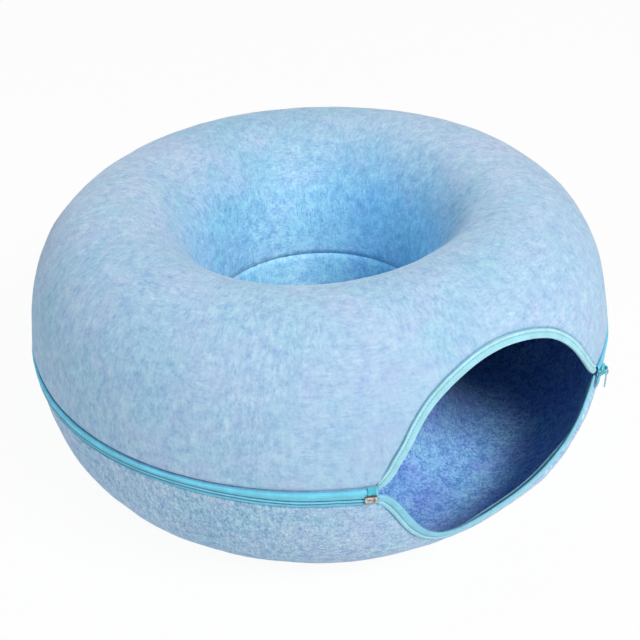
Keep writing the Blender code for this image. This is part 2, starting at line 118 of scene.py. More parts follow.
def quad_mesh(points, closed_columns):
    """A mesh from a grid of points, columns by rows. The rows close, and the open ends get caps."""
    columns, rows = points.shape[:2]
    faces = []
    for i in range(columns if closed_columns else columns - 1):
        after = (i + 1) % columns
        for j in range(rows):
            above = (j + 1) % rows
            faces.append((i * rows + j, after * rows + j, after * rows + above, i * rows + above))
    if not closed_columns:
        for j in range(rows // 2 - 1):
            ends = (j, j + 1, rows - 2 - j, rows - 1 - j)
            faces.append(ends)
            faces.append(tuple((columns - 1) * rows + k for k in reversed(ends)))
    mesh = bpy.data.meshes.new("grid")
    mesh.from_pydata(points.reshape(-1, 3).tolist(), [], faces)
    shape = bmesh.new()
    shape.from_mesh(mesh)
    bmesh.ops.recalc_face_normals(shape, faces=shape.faces)
    shape.to_mesh(mesh)
    shape.free()
    return mesh


def store_vector(mesh, name, values):
    """Keeps a vector for each point of a mesh, for its material to read."""
    layer = mesh.attributes.new(name, "FLOAT_VECTOR", "POINT")
    layer.data.foreach_set("vector", np.asarray(values, dtype=np.float32).ravel())


def in_metres(table):
    """A table of millimetres, given in metres."""
    return np.array(table) / 1000


def travel_along(points):
    """Distance from the start of a line to each of its points."""
    return np.concatenate([[0], np.cumsum(np.linalg.norm(np.diff(points, axis=0), axis=1))])


def resampled(values, travel, places):
    """Vectors along a line at other places on it."""
    return np.stack([np.interp(places, travel, values[:, k]) for k in range(3)], axis=1)


def ring_points(radius, angle, height):
    """Points at a radius, an angle round the ring and a height."""
    radius, angle, height = np.broadcast_arrays(radius, angle, height)
    return np.stack([radius * np.cos(angle), radius * np.sin(angle), height], axis=-1)


def hump(value, centre, width):
    """A soft bump of height 1 round a centre."""
    return np.exp(-((value - centre) / width) ** 2)


def eased(share):
    """A share from 0 to 1 with a soft start and end."""
    return share ** 2 * (3 - 2 * share)


def wrapped(angle):
    """Angles in degrees, from -180 to 180."""
    return (np.degrees(angle) + 180) % 360 - 180


def turn_from(angle, base):
    """Angles measured from a base angle, from minus half a turn to half a turn."""
    return np.arctan2(np.sin(angle - base), np.cos(angle - base))


def smooth_path(points, count=2400):
    """A smooth line through control points in degrees and millimetres, evenly spaced along it."""
    travel = travel_along(points * (MM_PER_DEGREE, 1))
    slope = np.gradient(points, travel, axis=0)
    place = np.linspace(0, travel[-1], count)
    k = np.clip(np.searchsorted(travel, place, side="right") - 1, 0, len(travel) - 2)
    span = (travel[k + 1] - travel[k])[:, None]
    f = (place - travel[k])[:, None] / span
    return ((2 * f ** 3 - 3 * f ** 2 + 1) * points[k] + (f ** 3 - 2 * f ** 2 + f) * span * slope[k]
            + (3 * f ** 2 - 2 * f ** 3) * points[k + 1] + (f ** 3 - f ** 2) * span * slope[k + 1])


def edge_height(angle, side, least):
    """How far the cut edge is from the seam at an angle round the ring, and never less than least."""
    path = smooth_path(np.stack([CUT_ANGLES, CUT_HEIGHTS_MM[side]], axis=1))
    height = np.interp(wrapped(angle), path[:, 0], path[:, 1], left=0, right=0) / 1000
    return (np.abs(height) ** 6 + least ** 6) ** (1 / 6)


def drift(angle, level, side):
    """How far the sewn zip wanders up or down from a true circle, in metres."""
    seam, rim = [np.interp(wrapped(angle), *table) / 1000 for table in (SEAM_DRIFT_MM, RIM_DRIFT_MM[side])]
    first = 0 if side > 0 else CREASE_LEVEL
    share = np.clip((level - first) / (TAPE_EDGE[side] - first), 0, 1)
    away = np.clip((level - TAPE_EDGE[side]) / DRIFT_FADE, 0, 1)
    return (seam * (1 - share) + rim * share) * (1 - eased(away))


def on_wall(angle, height, side):
    """Points on the outer wall, and the ways out of it, at heights measured from the seam."""
    level = np.clip(np.abs(height) / SEAM_HEIGHT, 0, 1)
    reach = FELT_RADIUS - CREST_RADIUS
    radius = CREST_RADIUS + reach * (1 - level ** OUTER_ROUNDNESS) ** (1 / OUTER_ROUNDNESS)
    out_r = ((radius - CREST_RADIUS) / reach) ** (OUTER_ROUNDNESS - 1) / reach
    out_h = level ** (OUTER_ROUNDNESS - 1) / SEAM_HEIGHT
    size = np.hypot(out_r, out_h)
    return (ring_points(radius, angle, SEAM_HEIGHT + side * height),
            ring_points(out_r / size, angle, side * out_h / size))


def mould_curve():
    """The mould's section from the outer seam over the crest to the seam in the hole."""
    turn = np.linspace(0, math.pi / 2, CURVE_POINTS)
    sections = []
    for seam_radius, roundness in ((FELT_RADIUS, OUTER_ROUNDNESS), (HOLE_RADIUS, INNER_ROUNDNESS)):
        radius = CREST_RADIUS + (seam_radius - CREST_RADIUS) * np.cos(turn) ** (2 / roundness)
        sections.append(np.stack([radius, SEAM_HEIGHT * np.sin(turn) ** (2 / roundness)], axis=1))
    line = np.concatenate([sections[0][:-1], sections[1][::-1]])
    return line[:, 0], line[:, 1], travel_along(line)


MOULD_RADIUS, MOULD_HEIGHT, MOULD_TRAVEL = mould_curve()
CREST_PLACE = MOULD_TRAVEL[CURVE_POINTS - 1]


def mould_at(along):
    """Radius, height over the seam and the way out at a place along the mould's section."""
    r, h, out_r, fall = [np.interp(along, MOULD_TRAVEL, values) for values in (
        MOULD_RADIUS, MOULD_HEIGHT, np.gradient(MOULD_HEIGHT, MOULD_TRAVEL),
        np.gradient(MOULD_RADIUS, MOULD_TRAVEL))]
    size = np.hypot(out_r, fall)
    return r, h, out_r / size, -fall / size


def felt_columns():
    """Angles of the felt's columns round the ring, close together where the mouth is cut."""
    dense = math.radians(30)
    spans = ((-dense, dense), (dense, 2 * math.pi - dense))
    return MOUTH_ANGLE + np.concatenate([np.linspace(*span, HALF_COLUMNS, endpoint=False) for span in spans])


def from_cut_edge(angle, along, side):
    """Points of the bare mould, and how far each near the mouth is from the cut edge."""
    edge_angle = MOUTH_ANGLE + np.linspace(-BINDING_END, BINDING_END, 1400)
    edge = on_wall(edge_angle, edge_height(edge_angle, side, RIM_LEVEL), side)[0]
    travel = travel_along(edge)
    edge = resampled(edge, travel, np.linspace(0, travel[-1], 700))
    r, h = mould_at(along)[:2]
    flat = ring_points(r, angle[:, None], SEAM_HEIGHT + side * h).reshape(-1, 3)
    turn = np.repeat(angle, along.shape[1])
    close = np.flatnonzero(np.abs(np.sin((turn - MOUTH_ANGLE) / 2)) < math.sin(math.radians(20)))
    away = np.full(len(flat), 1.0)
    for part in np.array_split(close, len(close) // 4000 + 1):
        gap = flat[part, None, :] - edge[None, :, :]
        away[part] = np.sqrt((gap ** 2).sum(axis=2).min(axis=1))
    return flat, away.reshape(r.shape)


def slow_noise(points, size, seed):
    """Smooth unevenness from -1 to 1, with lumps of a given size."""
    away = Vector((seed, 2 * seed, 3 * seed))
    return np.array([noise.noise(Vector(point) / size + away) for point in points])


def felt_outside(angle, along, side):
    """How far the outside stands off the mould, and the painted shade beside the zip and the binding."""
    h = mould_at(along)[1]
    on_outside = along < CREST_PLACE
    flat, from_edge = from_cut_edge(angle, along, side)
    from_binding = from_edge - BINDING_WIDTH[side]
    from_tape = np.where(on_outside, h - TAPE_EDGE[side], 1.0)
    degrees = wrapped(angle)[:, None]
    soft = np.interp(degrees, (-118, -104, -90, -60), (1, 0.6, 0.25, 0.25)) if side > 0 else 0.2
    corner = np.degrees(np.abs(turn_from(angle, MOUTH_ANGLE)))[:, None]
    off_corner = 1 - np.clip((corner - 25.4) / 1.2, 0, 1)

    beside_tape = np.interp(from_tape, *in_metres(BESIDE_TAPE_MM[side]))
    if side > 0:
        beside_tape = np.where((beside_tape < 0) & (from_tape > 0), beside_tape * soft, beside_tape)
    beside_binding = np.interp(from_binding, *in_metres(BESIDE_BINDING_MM[side]))
    dips = (from_binding > 0) & (beside_binding < 0)
    beside_binding = np.where(dips, beside_binding * off_corner, beside_binding)
    under_binding = np.interp(from_edge, *in_metres(BINDING_FACE_MM[side])) - BINDING_CLOTH
    beside_binding = np.where(from_binding < 0, under_binding, beside_binding)
    press = np.where(from_binding < from_tape, beside_binding, beside_tape)

    to_hole = (MOULD_TRAVEL[-1] - along) / ROLL_SIZE
    roll = -0.0001 * np.clip(1 - to_hole, 0, 1) ** 2
    uneven = sum(size * slow_noise(flat, lump, seed + side) for size, lump, seed in LUMPS)
    calm = np.clip(np.minimum(from_binding, from_tape) / 0.006, 0, 1) * np.clip(to_hole, 0, 1)
    offset = press + roll + uneven.reshape(h.shape) * calm
    if side < 0:
        offset += 0.0002 * np.clip(2 - to_hole / 1.5, 0, 1)
        bulge = np.interp(from_binding, (0.0009, 0.003, 0.020, 0.050), (0, 1, 1, 0))
        bulge *= np.interp(from_tape, (0.001, 0.009), (0, 1)) * on_outside
        offset += MOUTH_BULGE * bulge * np.interp(degrees, (-50, -41, -5, 25), (0, 1, 1, 0))
    # Painted shade in the felt's grooves beside the zip tapes and beside the binding.
    zip_shade = np.where(on_outside, hump(from_tape, 0.0003, 0.0007) * soft, 0)
    return offset, zip_shade, 0.8 * hump(from_binding, 0.0004, 0.0006) * off_corner


def felt_surface(angle, along, offset, side):
    """Points of the felt, off the mould by an offset. The upper crest rises at the front right."""
    r, h, out_r, out_h = mould_at(along)
    highest = SEAM_HEIGHT - 0.0001 if side < 0 else 1
    level = side * np.clip(h + offset * out_h, 0.00006, highest)
    outward = along < CREST_PLACE
    if side > 0:
        raised = np.where(outward, np.clip((h - 0.080) / 0.035, 0, 1), np.clip((h - 0.015) / 0.080, 0, 1))
        level += CREST_RISE * raised ** 1.3 * hump(turn_from(angle, RISE_ANGLE), 0, RISE_SPREAD)[:, None]
    level += np.where(outward, drift(angle[:, None], h, side), 0)
    return ring_points(r + offset * out_r, angle[:, None], SEAM_HEIGHT + level)


def joined_rows(outer, inner):
    """The rows round one shell: out, the middle of the rim, back along the inside, and the cut edge."""
    return np.concatenate([outer, (outer[:, -1:] + inner[:, -1:]) / 2, inner[:, ::-1],
                           (outer[:, :1] + inner[:, :1]) / 2], axis=1)


def felt_half(side):
    """One moulded half, with what its material reads: its fibres' run, tone and painted light and shade.

    The three parts of tone are 1 inside the tunnel, 1 deep in the hole, and the grain's strength.
    Of the painted light and shade, the first is painted shade beside the zip, the second painted light
    on the lower half's wall of the hole, and the third painted shade beside the binding and all over
    the inside of the upper half.
    """
    angle = felt_columns()
    height = edge_height(angle, side, RIM_LEVEL)
    start = np.interp(height, MOULD_HEIGHT[:CURVE_POINTS], MOULD_TRAVEL[:CURVE_POINTS])[:, None]
    reach = MOULD_TRAVEL[-1] - start
    near = np.linspace(0, NEAR_REACH, NEAR_ROWS, endpoint=False) + 0 * start
    far = (reach - NEAR_REACH) * np.linspace(0, 1, FAR_ROWS) + NEAR_REACH
    outer = start + np.concatenate([near, far], axis=1)
    inner = start + reach * np.linspace(0, 1, INSIDE_ROWS) ** 1.25
    offset, zip_shade, binding_shade = felt_outside(angle, outer, side)
    thickness = np.interp(from_cut_edge(angle, inner, side)[1], *in_metres(EDGE_FELT_MM[side]))
    mesh = quad_mesh(joined_rows(felt_surface(angle, outer, offset, side),
                                 felt_surface(angle, inner, -thickness, side)), True)

    outer_fibre = ring_points(FIBRE_DRUM, angle[:, None], side * outer)
    inner_fibre = ring_points(1.07 * FIBRE_DRUM, angle[:, None], side * inner)
    fibres = [outer_fibre, outer_fibre[:, -1:], inner_fibre[:, ::-1], inner_fibre[:, :1]]
    store_vector(mesh, "fibre", np.concatenate(fibres, axis=1))
    tone, painted_light_and_shade = np.zeros((2, len(angle), outer.shape[1] + inner.shape[1] + 2, 3))
    outside, inside = np.s_[:, :outer.shape[1]], np.s_[:, outer.shape[1]:]
    in_hole = outer >= CREST_PLACE
    tone[inside][:, :, 0] = 1
    tone[outside][:, :, 1] = in_hole * np.clip((0.112 - mould_at(outer)[1]) / 0.05, 0, 1)
    tone[:, :, 2] = PLAIN_GRAIN
    if side < 0:
        tone[:, :, 2] = STRONG_GRAIN
        tone[outside][:, :, 2] = np.where(in_hole, PLAIN_GRAIN, STRONG_GRAIN)
    store_vector(mesh, "tone", tone)
    # Painted shade beside the zip and the binding, painted light on the lower wall of the hole, and painted
    # shade over the upper half's inside.
    painted_light_and_shade[outside] = np.stack([zip_shade, in_hole * (side < 0) * ((MOULD_TRAVEL[-1] - outer) / ROLL_SIZE < 60),
                              binding_shade], axis=2)
    painted_light_and_shade[inside][:, :, 2] = side > 0
    store_vector(mesh, "painted_light_and_shade", painted_light_and_shade)
    return mesh


def add_node(tree, kind, inputs=(), **settings):
    """Adds a node, sets it and joins its inputs. An input is a value or another socket."""
    node = tree.nodes.new(kind)
    for key, value in settings.items():
        setattr(node, key, value)
    for key, value in dict(inputs).items():
        if isinstance(value, bpy.types.NodeSocket):
            tree.links.new(value, node.inputs[key])
        else:
            node.inputs[key].default_value = value
    return node


def new_material(name, roughness, **sockets):
    """A material with its main shader, whose even values are set on the shader's own sockets."""
    material = bpy.data.materials.new(name)
    material.use_nodes = True
    shader = material.node_tree.nodes["Principled BSDF"]
    shader.inputs["Roughness"].default_value = roughness
    for key, value in sockets.items():
        shader.inputs[key.replace("_", " ")].default_value = value
    return material, material.node_tree, shader


def object_place(tree):
    """The place on the piece, in metres."""
    return add_node(tree, "ShaderNodeTexCoord").outputs["Object"]


def stored(tree, name):
    """A vector that store_vector kept on the mesh."""
    return add_node(tree, "ShaderNodeAttribute", attribute_name=name).outputs["Vector"]


def parts_of(tree, vector):
    """The three parts of a vector."""
    return add_node(tree, "ShaderNodeSeparateXYZ", {0: vector}).outputs


def ramp(tree, factor, stops):
    """A colour ramp: stops are (place, (red, green, blue))."""
    node = add_node(tree, "ShaderNodeValToRGB", {"Fac": factor})
    elements = node.color_ramp.elements
    while len(elements) < len(stops):
        elements.new(0.5)
    for element, (place, colour) in zip(elements, stops):
        element.position = place
        element.color = (*colour, 1)
    return node.outputs["Color"]


def grey_ramp(tree, factor, *stops):
    """A ramp of greys: stops are (place, value)."""
    return ramp(tree, factor, [(place, (value, value, value)) for place, value in stops])


def scaled(tree, vector, scale, away=(0, 0, 0)):
    """A vector stretched by a scale and moved."""
    node = add_node(tree, "ShaderNodeMapping", {"Vector": vector, "Scale": scale, "Location": away})
    return node.outputs["Vector"]


def noise_value(tree, vector, scale, detail=2.0, rough=0.5, distortion=0.0):
    """Noise from 0 to 1."""
    node = add_node(tree, "ShaderNodeTexNoise", {
        "Vector": vector, "Scale": scale, "Detail": detail, "Roughness": rough, "Distortion": distortion})
    return node.outputs["Fac"]


def mixed(tree, factor, first, second, blend="MIX"):
    """Two colours mixed by a factor. Each is a colour or a socket."""
    colours = [(*value, 1) if isinstance(value, tuple) else value for value in (first, second)]
    node = add_node(tree, "ShaderNodeMix", data_type="RGBA", blend_type=blend)
    for place, value in ((0, factor), (6, colours[0]), (7, colours[1])):
        if isinstance(value, bpy.types.NodeSocket):
            tree.links.new(value, node.inputs[place])
        else:
            node.inputs[place].default_value = value
    return node.outputs[2]


def tinted(tree, body, factor, tint):
    """A colour multiplied by a tint, as far as a factor says."""
    return mixed(tree, factor, body, tint, "MULTIPLY")


def worked(tree, operation, *values, clamp=False):
    """One step of arithmetic on the shader's numbers."""
    node = add_node(tree, "ShaderNodeMath", enumerate(values), operation=operation, use_clamp=clamp)
    return node.outputs[0]


def plus(tree, first, *others):
    """The sum of two or more numbers."""
    for other in others:
        first = worked(tree, "ADD", first, other)
    return first


def times(tree, first, second):
    """The product of two numbers."""
    return worked(tree, "MULTIPLY", first, second)


def centred(tree, value, size):
    """A noise value less its middle, times a size."""
    return times(tree, worked(tree, "SUBTRACT", value, 0.5), size)


def distance(tree, place, spot):
    """Distance from a spot on the piece."""
    return add_node(tree, "ShaderNodeVectorMath", {0: place, 1: spot}, operation="DISTANCE").outputs["Value"]


def bumped(tree, shader, depth, *layers):
    """Gives a shader its fine relief, from (value, weight) layers."""
    height = plus(tree, *[times(tree, value, weight) for value, weight in layers])
    bump = add_node(tree, "ShaderNodeBump", {"Height": height, "Strength": 0.5, "Distance": depth})
    tree.links.new(bump.outputs["Normal"], shader.inputs["Normal"])


def felt_material(name):
    """Heathered felt: cloudy patches of blended fibre, short streaks, flecks and a pale nap, with painted
    light and shade.
    """
    material, tree, shader = new_material(name, 0.95, Sheen_Weight=0.30, Sheen_Roughness=0.5,
                                          Sheen_Tint=(0.86, 0.92, 1.0, 1), Specular_IOR_Level=0.12)
    place = object_place(tree)
    fibre = stored(tree, "fibre")
    inside, in_hole, base_strength = parts_of(tree, stored(tree, "tone"))
    # The painted light and shade kept on the mesh: shade beside the zip, light on the lower wall of the hole,
    # shade beside the binding and on the upper half's inside.
    zip_painted_shade, lower_hole_painted_light, binding_and_ceiling_painted_shade = parts_of(tree, stored(tree, "painted_light_and_shade"))

    body = ramp(tree, noise_value(tree, place, 15, 3.0, 0.62),
                [(0.32, (0.365, 0.610, 0.800)), (0.47, (0.415, 0.625, 0.820)),
                 (0.56, (0.445, 0.635, 0.835)), (0.70, (0.470, 0.615, 0.835))])
    clouds = ((scaled(tree, place, (1, 1, 1.2)), 34, 2.0, 0.60, (0.47, 0.68), (0.345, 0.640, 0.800)),
              (scaled(tree, place, (1, 1, 1), (3, 5, 7)), 36, 2.0, 0.60, (0.50, 0.68), (0.500, 0.595, 0.840)),
              (place, 60, 3.0, 0.65, (0.53, 0.74), (0.270, 0.480, 0.770)))
    for where, scale, detail, rough, (first, full), colour in clouds:
        cloud = grey_ramp(tree, noise_value(tree, where, scale, detail, rough), (first, 0), (full, 1))
        body = mixed(tree, times(tree, cloud, 0.42), body, colour)

    upright = noise_value(tree, scaled(tree, fibre, (520, 520, 150)), 1, 2.0, 0.6, 0.6)
    level = noise_value(tree, scaled(tree, fibre, (150, 150, 520)), 1, 2.0, 0.6, 0.6)
    lie = grey_ramp(tree, noise_value(tree, place, 14, 1.0), (0.44, 0), (0.60, 1))
    inner_streak = noise_value(tree, scaled(tree, fibre, (170, 170, 640)), 1, 3.0, 0.62, 1.4)
    streak = mixed(tree, inside, mixed(tree, lie, upright, level), inner_streak)
    speck = noise_value(tree, place, 420, 2.0, 0.65)
    blotch = noise_value(tree, place, 130, 2.0, 0.6)
    fine = noise_value(tree, scaled(tree, fibre, (1000, 1000, 420)), 1, 1.0)
    fine = times(tree, centred(tree, fine, 1.2), worked(tree, "SUBTRACT", base_strength, PLAIN_GRAIN))
    grain = plus(tree, centred(tree, streak, 0.66), centred(tree, speck, 0.48), fine,
                 centred(tree, blotch, 0.58))
    strength = plus(tree, base_strength, times(tree, inside, 1.5), times(tree, in_hole, 0.55))
    near_mouth = times(tree, distance(tree, place, (0.06, -0.24, 0.15)), 5.0)
    strength = times(tree, strength, grey_ramp(tree, near_mouth, (0.25, 0.66), (0.55, 1.0)))
    grain = worked(tree, "ADD", times(tree, grain, strength), 0.5, clamp=True)
    body = tinted(tree, body, 1.0, ramp(tree, grain, [
        (0.0, (0.42, 0.58, 0.80)), (0.5, (1.0, 1.0, 1.0)), (1.0, (1.60, 1.42, 1.20))]))

    # Two paler, warmer spots on the crest: painted light.
    for spot, reach in (((-0.15, 0.03, 0.22), 0.13), ((0.18, 0.10, 0.21), 0.15)):
        away = worked(tree, "DIVIDE", distance(tree, place, spot), reach)
        body = tinted(tree, body, grey_ramp(tree, away, (0.1, 0.75), (1.0, 0)), (1.26, 1.06, 1.02))
    # Painted light and shade across the hole: lighter left of its middle, darker and bluer on its right.
    sideways = worked(tree, "MULTIPLY_ADD", parts_of(tree, place)[0], 5.0, 0.5, clamp=True)
    body = tinted(tree, body, in_hole, ramp(tree, sideways, [
        (0.10, (0.74, 1.00, 1.04)), (0.38, (1.08, 1.28, 1.22)), (0.76, (0.57, 0.94, 1.10))]))
    # Painted light on the lower half's wall of the hole.
    body = tinted(tree, body, times(tree, in_hole, lower_hole_painted_light), (1.10, 1.12, 1.08))
    # Painted shade inside the tunnel: the colour is darker and bluer there, in patches.
    patches = noise_value(tree, scaled(tree, place, (1, 1, 1), (7, 1, 4)), 30, 3.0, 0.6)
    body = tinted(tree, body, inside, ramp(tree, patches, [
        (0.34, (0.49, 0.62, 1.00)), (0.50, (0.54, 0.74, 1.03)), (0.66, (0.58, 0.87, 1.05))]))
    # Painted shade beside the binding, and a warmer painted shade over all of the upper half's inside.
    painted_shade_colour = mixed(tree, inside, (0.22, 0.48, 0.54), (1.20, 0.80, 0.68))
    body = tinted(tree, body, binding_and_ceiling_painted_shade, painted_shade_colour)
    # Painted shade in the groove beside the zip tape.
    body = tinted(tree, body, zip_painted_shade, (0.05, 0.32, 0.66))
    tree.links.new(body, shader.inputs["Base Color"])
    bumped(tree, shader, 0.0006, (streak, 1.0), (speck, 0.6))
    return material


blue_felt = felt_material("blue_felt")
for half, side in HALVES:
    add_piece(half + "_felt", felt_half(side), blue_felt, [half + "_shell"], half + "_half")

# The zip tapes. Two woven nylon tapes, dyed cyan, are sewn round the outside of the rims. Their folded
# edges meet over the chain, which is turned inwards. The lower one has a sewn crease along it and is
# narrow on show, because the lower felt swells over it.
TAPE_START = math.radians(27.12)
WEAVE_RADIUS = 0.25
SWEEP_STEP = 0.0022
TAPE_THICKNESS = 0.0006
TAPE_SECTION = {
    1: [(0.00035, 0.24960), (0.00036, 0.25000), (0.0006, 0.25042), (0.0010, 0.25068), (0.0016, 0.25084),
        (0.0020, 0.25082), (0.0022, 0.25076), (0.0025, 0.25086), (0.0031, 0.25108), (0.0039, 0.25122),
        (0.0048, 0.25122), (0.0056, 0.25108), (0.0062, 0.25084), (0.0067, 0.25050), (0.0070, 0.25008),
        (0.0072, 0.24950)],
    -1: [(0.00035, 0.24960), (0.00036, 0.25000), (0.0006, 0.25044), (0.0010, 0.25070), (0.0016, 0.25078),
         (0.0020, 0.25062), (0.0023, 0.25030), (0.0025, 0.24992), (0.0027, 0.24980), (0.0030, 0.24996),
         (0.0033, 0.25034), (0.0039, 0.25066), (0.0048, 0.25078), (0.0056, 0.25062), (0.0062, 0.25018),
         (0.0065, 0.24950)]}


def tape_ripple(angle, level, seed):
    """How far a sewn tape stands out in small waves, most in the middle of its width."""
    wave = np.sin(angle * 41 + seed) + 0.6 * np.sin(angle * 97 + 2 * seed) + 0.4 * np.sin(angle * 173)
    return 0.00007 * wave * np.clip(np.sin(math.pi * np.clip(level / 0.0096, 0, 1)), 0, 1)


def ring_sweep(section, side, start, end, ripple=0):
    """A band of cloth round the ring between two angles from the middle of the mouth.

    The section lists the outer face as (distance from the seam, radius). The back is parallel to
    it. The ripple is 1 where the band stands out in small waves and 0 where it doesn't.
    """
    count = round((end - start) * WEAVE_RADIUS / SWEEP_STEP)
    angle = (MOUTH_ANGLE + np.linspace(start, end, count + 1))[:, None]
    level, radius = np.array(section).T
    level = np.concatenate([level, level[::-1]])[None, :]
    radius = np.concatenate([radius, radius[::-1] - TAPE_THICKNESS])
    radius = radius + ripple * tape_ripple(angle, level, side)
    height = SEAM_HEIGHT + side * level + drift(angle, level, side)
    mesh = quad_mesh(ring_points(radius, angle, height), False)
    store_vector(mesh, "weave", np.stack(np.broadcast_arrays(WEAVE_RADIUS * angle, level, 0.0), axis=2))
    return mesh


def woven_material(name, colour, lines, rough=0.72, spread=(0.88, 1.05), inner_lines=None):
    """Woven tape: fine ribs along and across, soft uneven dye, and a colour across its width.

    The lines are (mm across, (red, green, blue)) factors on the tape's colour. On the zip and edge
    tapes they hold painted shade in grooves and along edges, and painted highlights on folds and
    hems. A folded tape has its own inner lines.
    """
    material, tree, shader = new_material(name, rough, Sheen_Weight=0.25, Sheen_Roughness=0.4,
                                          Specular_IOR_Level=0.3)
    weave = stored(tree, "weave")
    along, across, folded_in = parts_of(tree, weave)
    rib = worked(tree, "SINE", times(tree, along, 2 * math.pi / 0.0007))
    yarn = worked(tree, "SINE", times(tree, across, 2 * math.pi / 0.0006))
    dye = grey_ramp(tree, noise_value(tree, object_place(tree), 90, 2.0, 0.6), (0.30, 0), (0.70, 1))
    body = mixed(tree, dye, *[tuple(share * value for value in colour) for share in spread])
    fine = noise_value(tree, scaled(tree, weave, (1100, 900, 1)), 1, 2.0, 0.6)
    body = tinted(tree, body, 0.5, grey_ramp(tree, fine, (0.30, 0.80), (0.70, 1.12)))
    centimetres = times(tree, plus(tree, across, 0.001), 100)
    tint, *inner_tint = [ramp(tree, centimetres, [((mm + 1) / 10, factor) for mm, factor in table])
                         for table in (lines, inner_lines) if table]
    if inner_tint:
        tint = mixed(tree, folded_in, tint, inner_tint[0])
    tree.links.new(tinted(tree, body, 1.0, tint), shader.inputs["Base Color"])
    bumped(tree, shader, 0.00012, (rib, 0.5), (yarn, 0.3))
    return material


even = (1.0, 1.0, 1.0)
tape_cloth = {
    # Painted shade darkens the folded edge by the gap and the top edge against the felt.
    1: woven_material("upper_zip_tape_cloth", (0.225, 0.755, 0.960),
                      [(0.3, (0.10, 0.36, 0.50)), (0.8, even), (1.8, even), (2.2, (0.80, 0.90, 0.95)),
                       (2.6, even), (6.2, even), (6.8, (0.72, 0.86, 0.92)), (7.2, (0.55, 0.75, 0.82))]),
    # Painted shade darkens the folded edge by the gap, the sewn crease and the lower edge under the felt's
    # swell; a painted highlight lightens the fold's crest.
    -1: woven_material("lower_zip_tape_cloth", (0.240, 0.680, 0.880),
                       [(0.3, (0.10, 0.36, 0.50)), (0.8, (1.2, 1.08, 1.04)), (1.9, (1.1, 1.04, 1.02)),
                        (2.3, (0.14, 0.38, 0.50)), (3.0, (0.14, 0.38, 0.50)), (3.5, (0.75, 0.88, 0.94)),
                        (5.2, even), (6.5, (0.80, 0.88, 0.93))])}
for half, side in HALVES:
    tape = ring_sweep(TAPE_SECTION[side], side, TAPE_START, 2 * math.pi - TAPE_START, ripple=1)
    add_piece(half + "_tape", tape, tape_cloth[side], [half + "_zip_tape"], half + "_half")

# The zip chain. Each half is a satin nylon coil of close loops, with a cord that they are wound on.
# The coils are on the inside of the tapes and meet behind the gap between their folded edges.
CHAIN_START, CHAIN_END = math.radians(27.93), 2 * math.pi - math.radians(29.44)
LOOP_PITCH, LOOP_SIZE = 0.00125, (0.00118, 0.00225, 0.00140)
COIL_RADIUS, COIL_LEVEL = 0.24915, 0.00115
CORD_SECTION = [(0.0008, 0.24960), (0.0010, 0.24985), (0.0013, 0.24998), (0.0016, 0.24985),
                (0.0018, 0.24960)]


def bead_tree():
    """A Geometry Nodes tree that sets a soft-edged bead on every point of its input."""
    tree = bpy.data.node_groups.new("beads", "GeometryNodeTree")
    for name, kind in (("Spots", "Geometry"), ("Bead size", "Vector"), ("Unevenness", "Float"),
                       ("Seed", "Int"), ("Material", "Material")):
        tree.interface.new_socket(name=name, in_out="INPUT", socket_type="NodeSocket" + kind)
    tree.interface.new_socket(name="Beads", in_out="OUTPUT", socket_type="NodeSocketGeometry")
    given = tree.nodes.new("NodeGroupInput").outputs
    cube = add_node(tree, "GeometryNodeMeshCube", {"Size": (1.25, 1.25, 1.25)})
    soft = add_node(tree, "GeometryNodeSubdivisionSurface", {"Mesh": cube.outputs["Mesh"], "Level": 1})
    smooth = add_node(tree, "GeometryNodeSetShadeSmooth", {0: soft.outputs[0]})
    along, out = [add_node(tree, "GeometryNodeInputNamedAttribute", {"Name": name},
                           data_type="FLOAT_VECTOR").outputs["Attribute"] for name in ("along", "out")]
    turn = add_node(tree, "FunctionNodeAxesToRotation", {"Primary Axis": out, "Secondary Axis": along},
                    primary_axis="Z", secondary_axis="X")
    vary = add_node(tree, "FunctionNodeRandomValue", {"Seed": given["Seed"]}, data_type="FLOAT_VECTOR")
    for limit, operation in (("Min", "SUBTRACT"), ("Max", "ADD")):
        tree.links.new(worked(tree, operation, 1.0, given["Unevenness"]), vary.inputs[limit])
    size = add_node(tree, "ShaderNodeVectorMath", {0: given["Bead size"], 1: vary.outputs["Value"]},
                    operation="MULTIPLY")
    spots = add_node(tree, "GeometryNodeMeshToPoints", {"Mesh": given["Spots"]})
    beads = add_node(tree, "GeometryNodeInstanceOnPoints", {
        "Points": spots.outputs["Points"], "Instance": smooth.outputs[0],
        "Rotation": turn.outputs["Rotation"], "Scale": size.outputs["Vector"]})
    real = add_node(tree, "GeometryNodeRealizeInstances", {0: beads.outputs["Instances"]})
    coloured = add_node(tree, "GeometryNodeSetMaterial", {
        "Geometry": real.outputs[0], "Material": given["Material"]})
    tree.links.new(coloured.outputs[0], tree.nodes.new("NodeGroupOutput").inputs[0])
    return tree


beads = bead_tree()


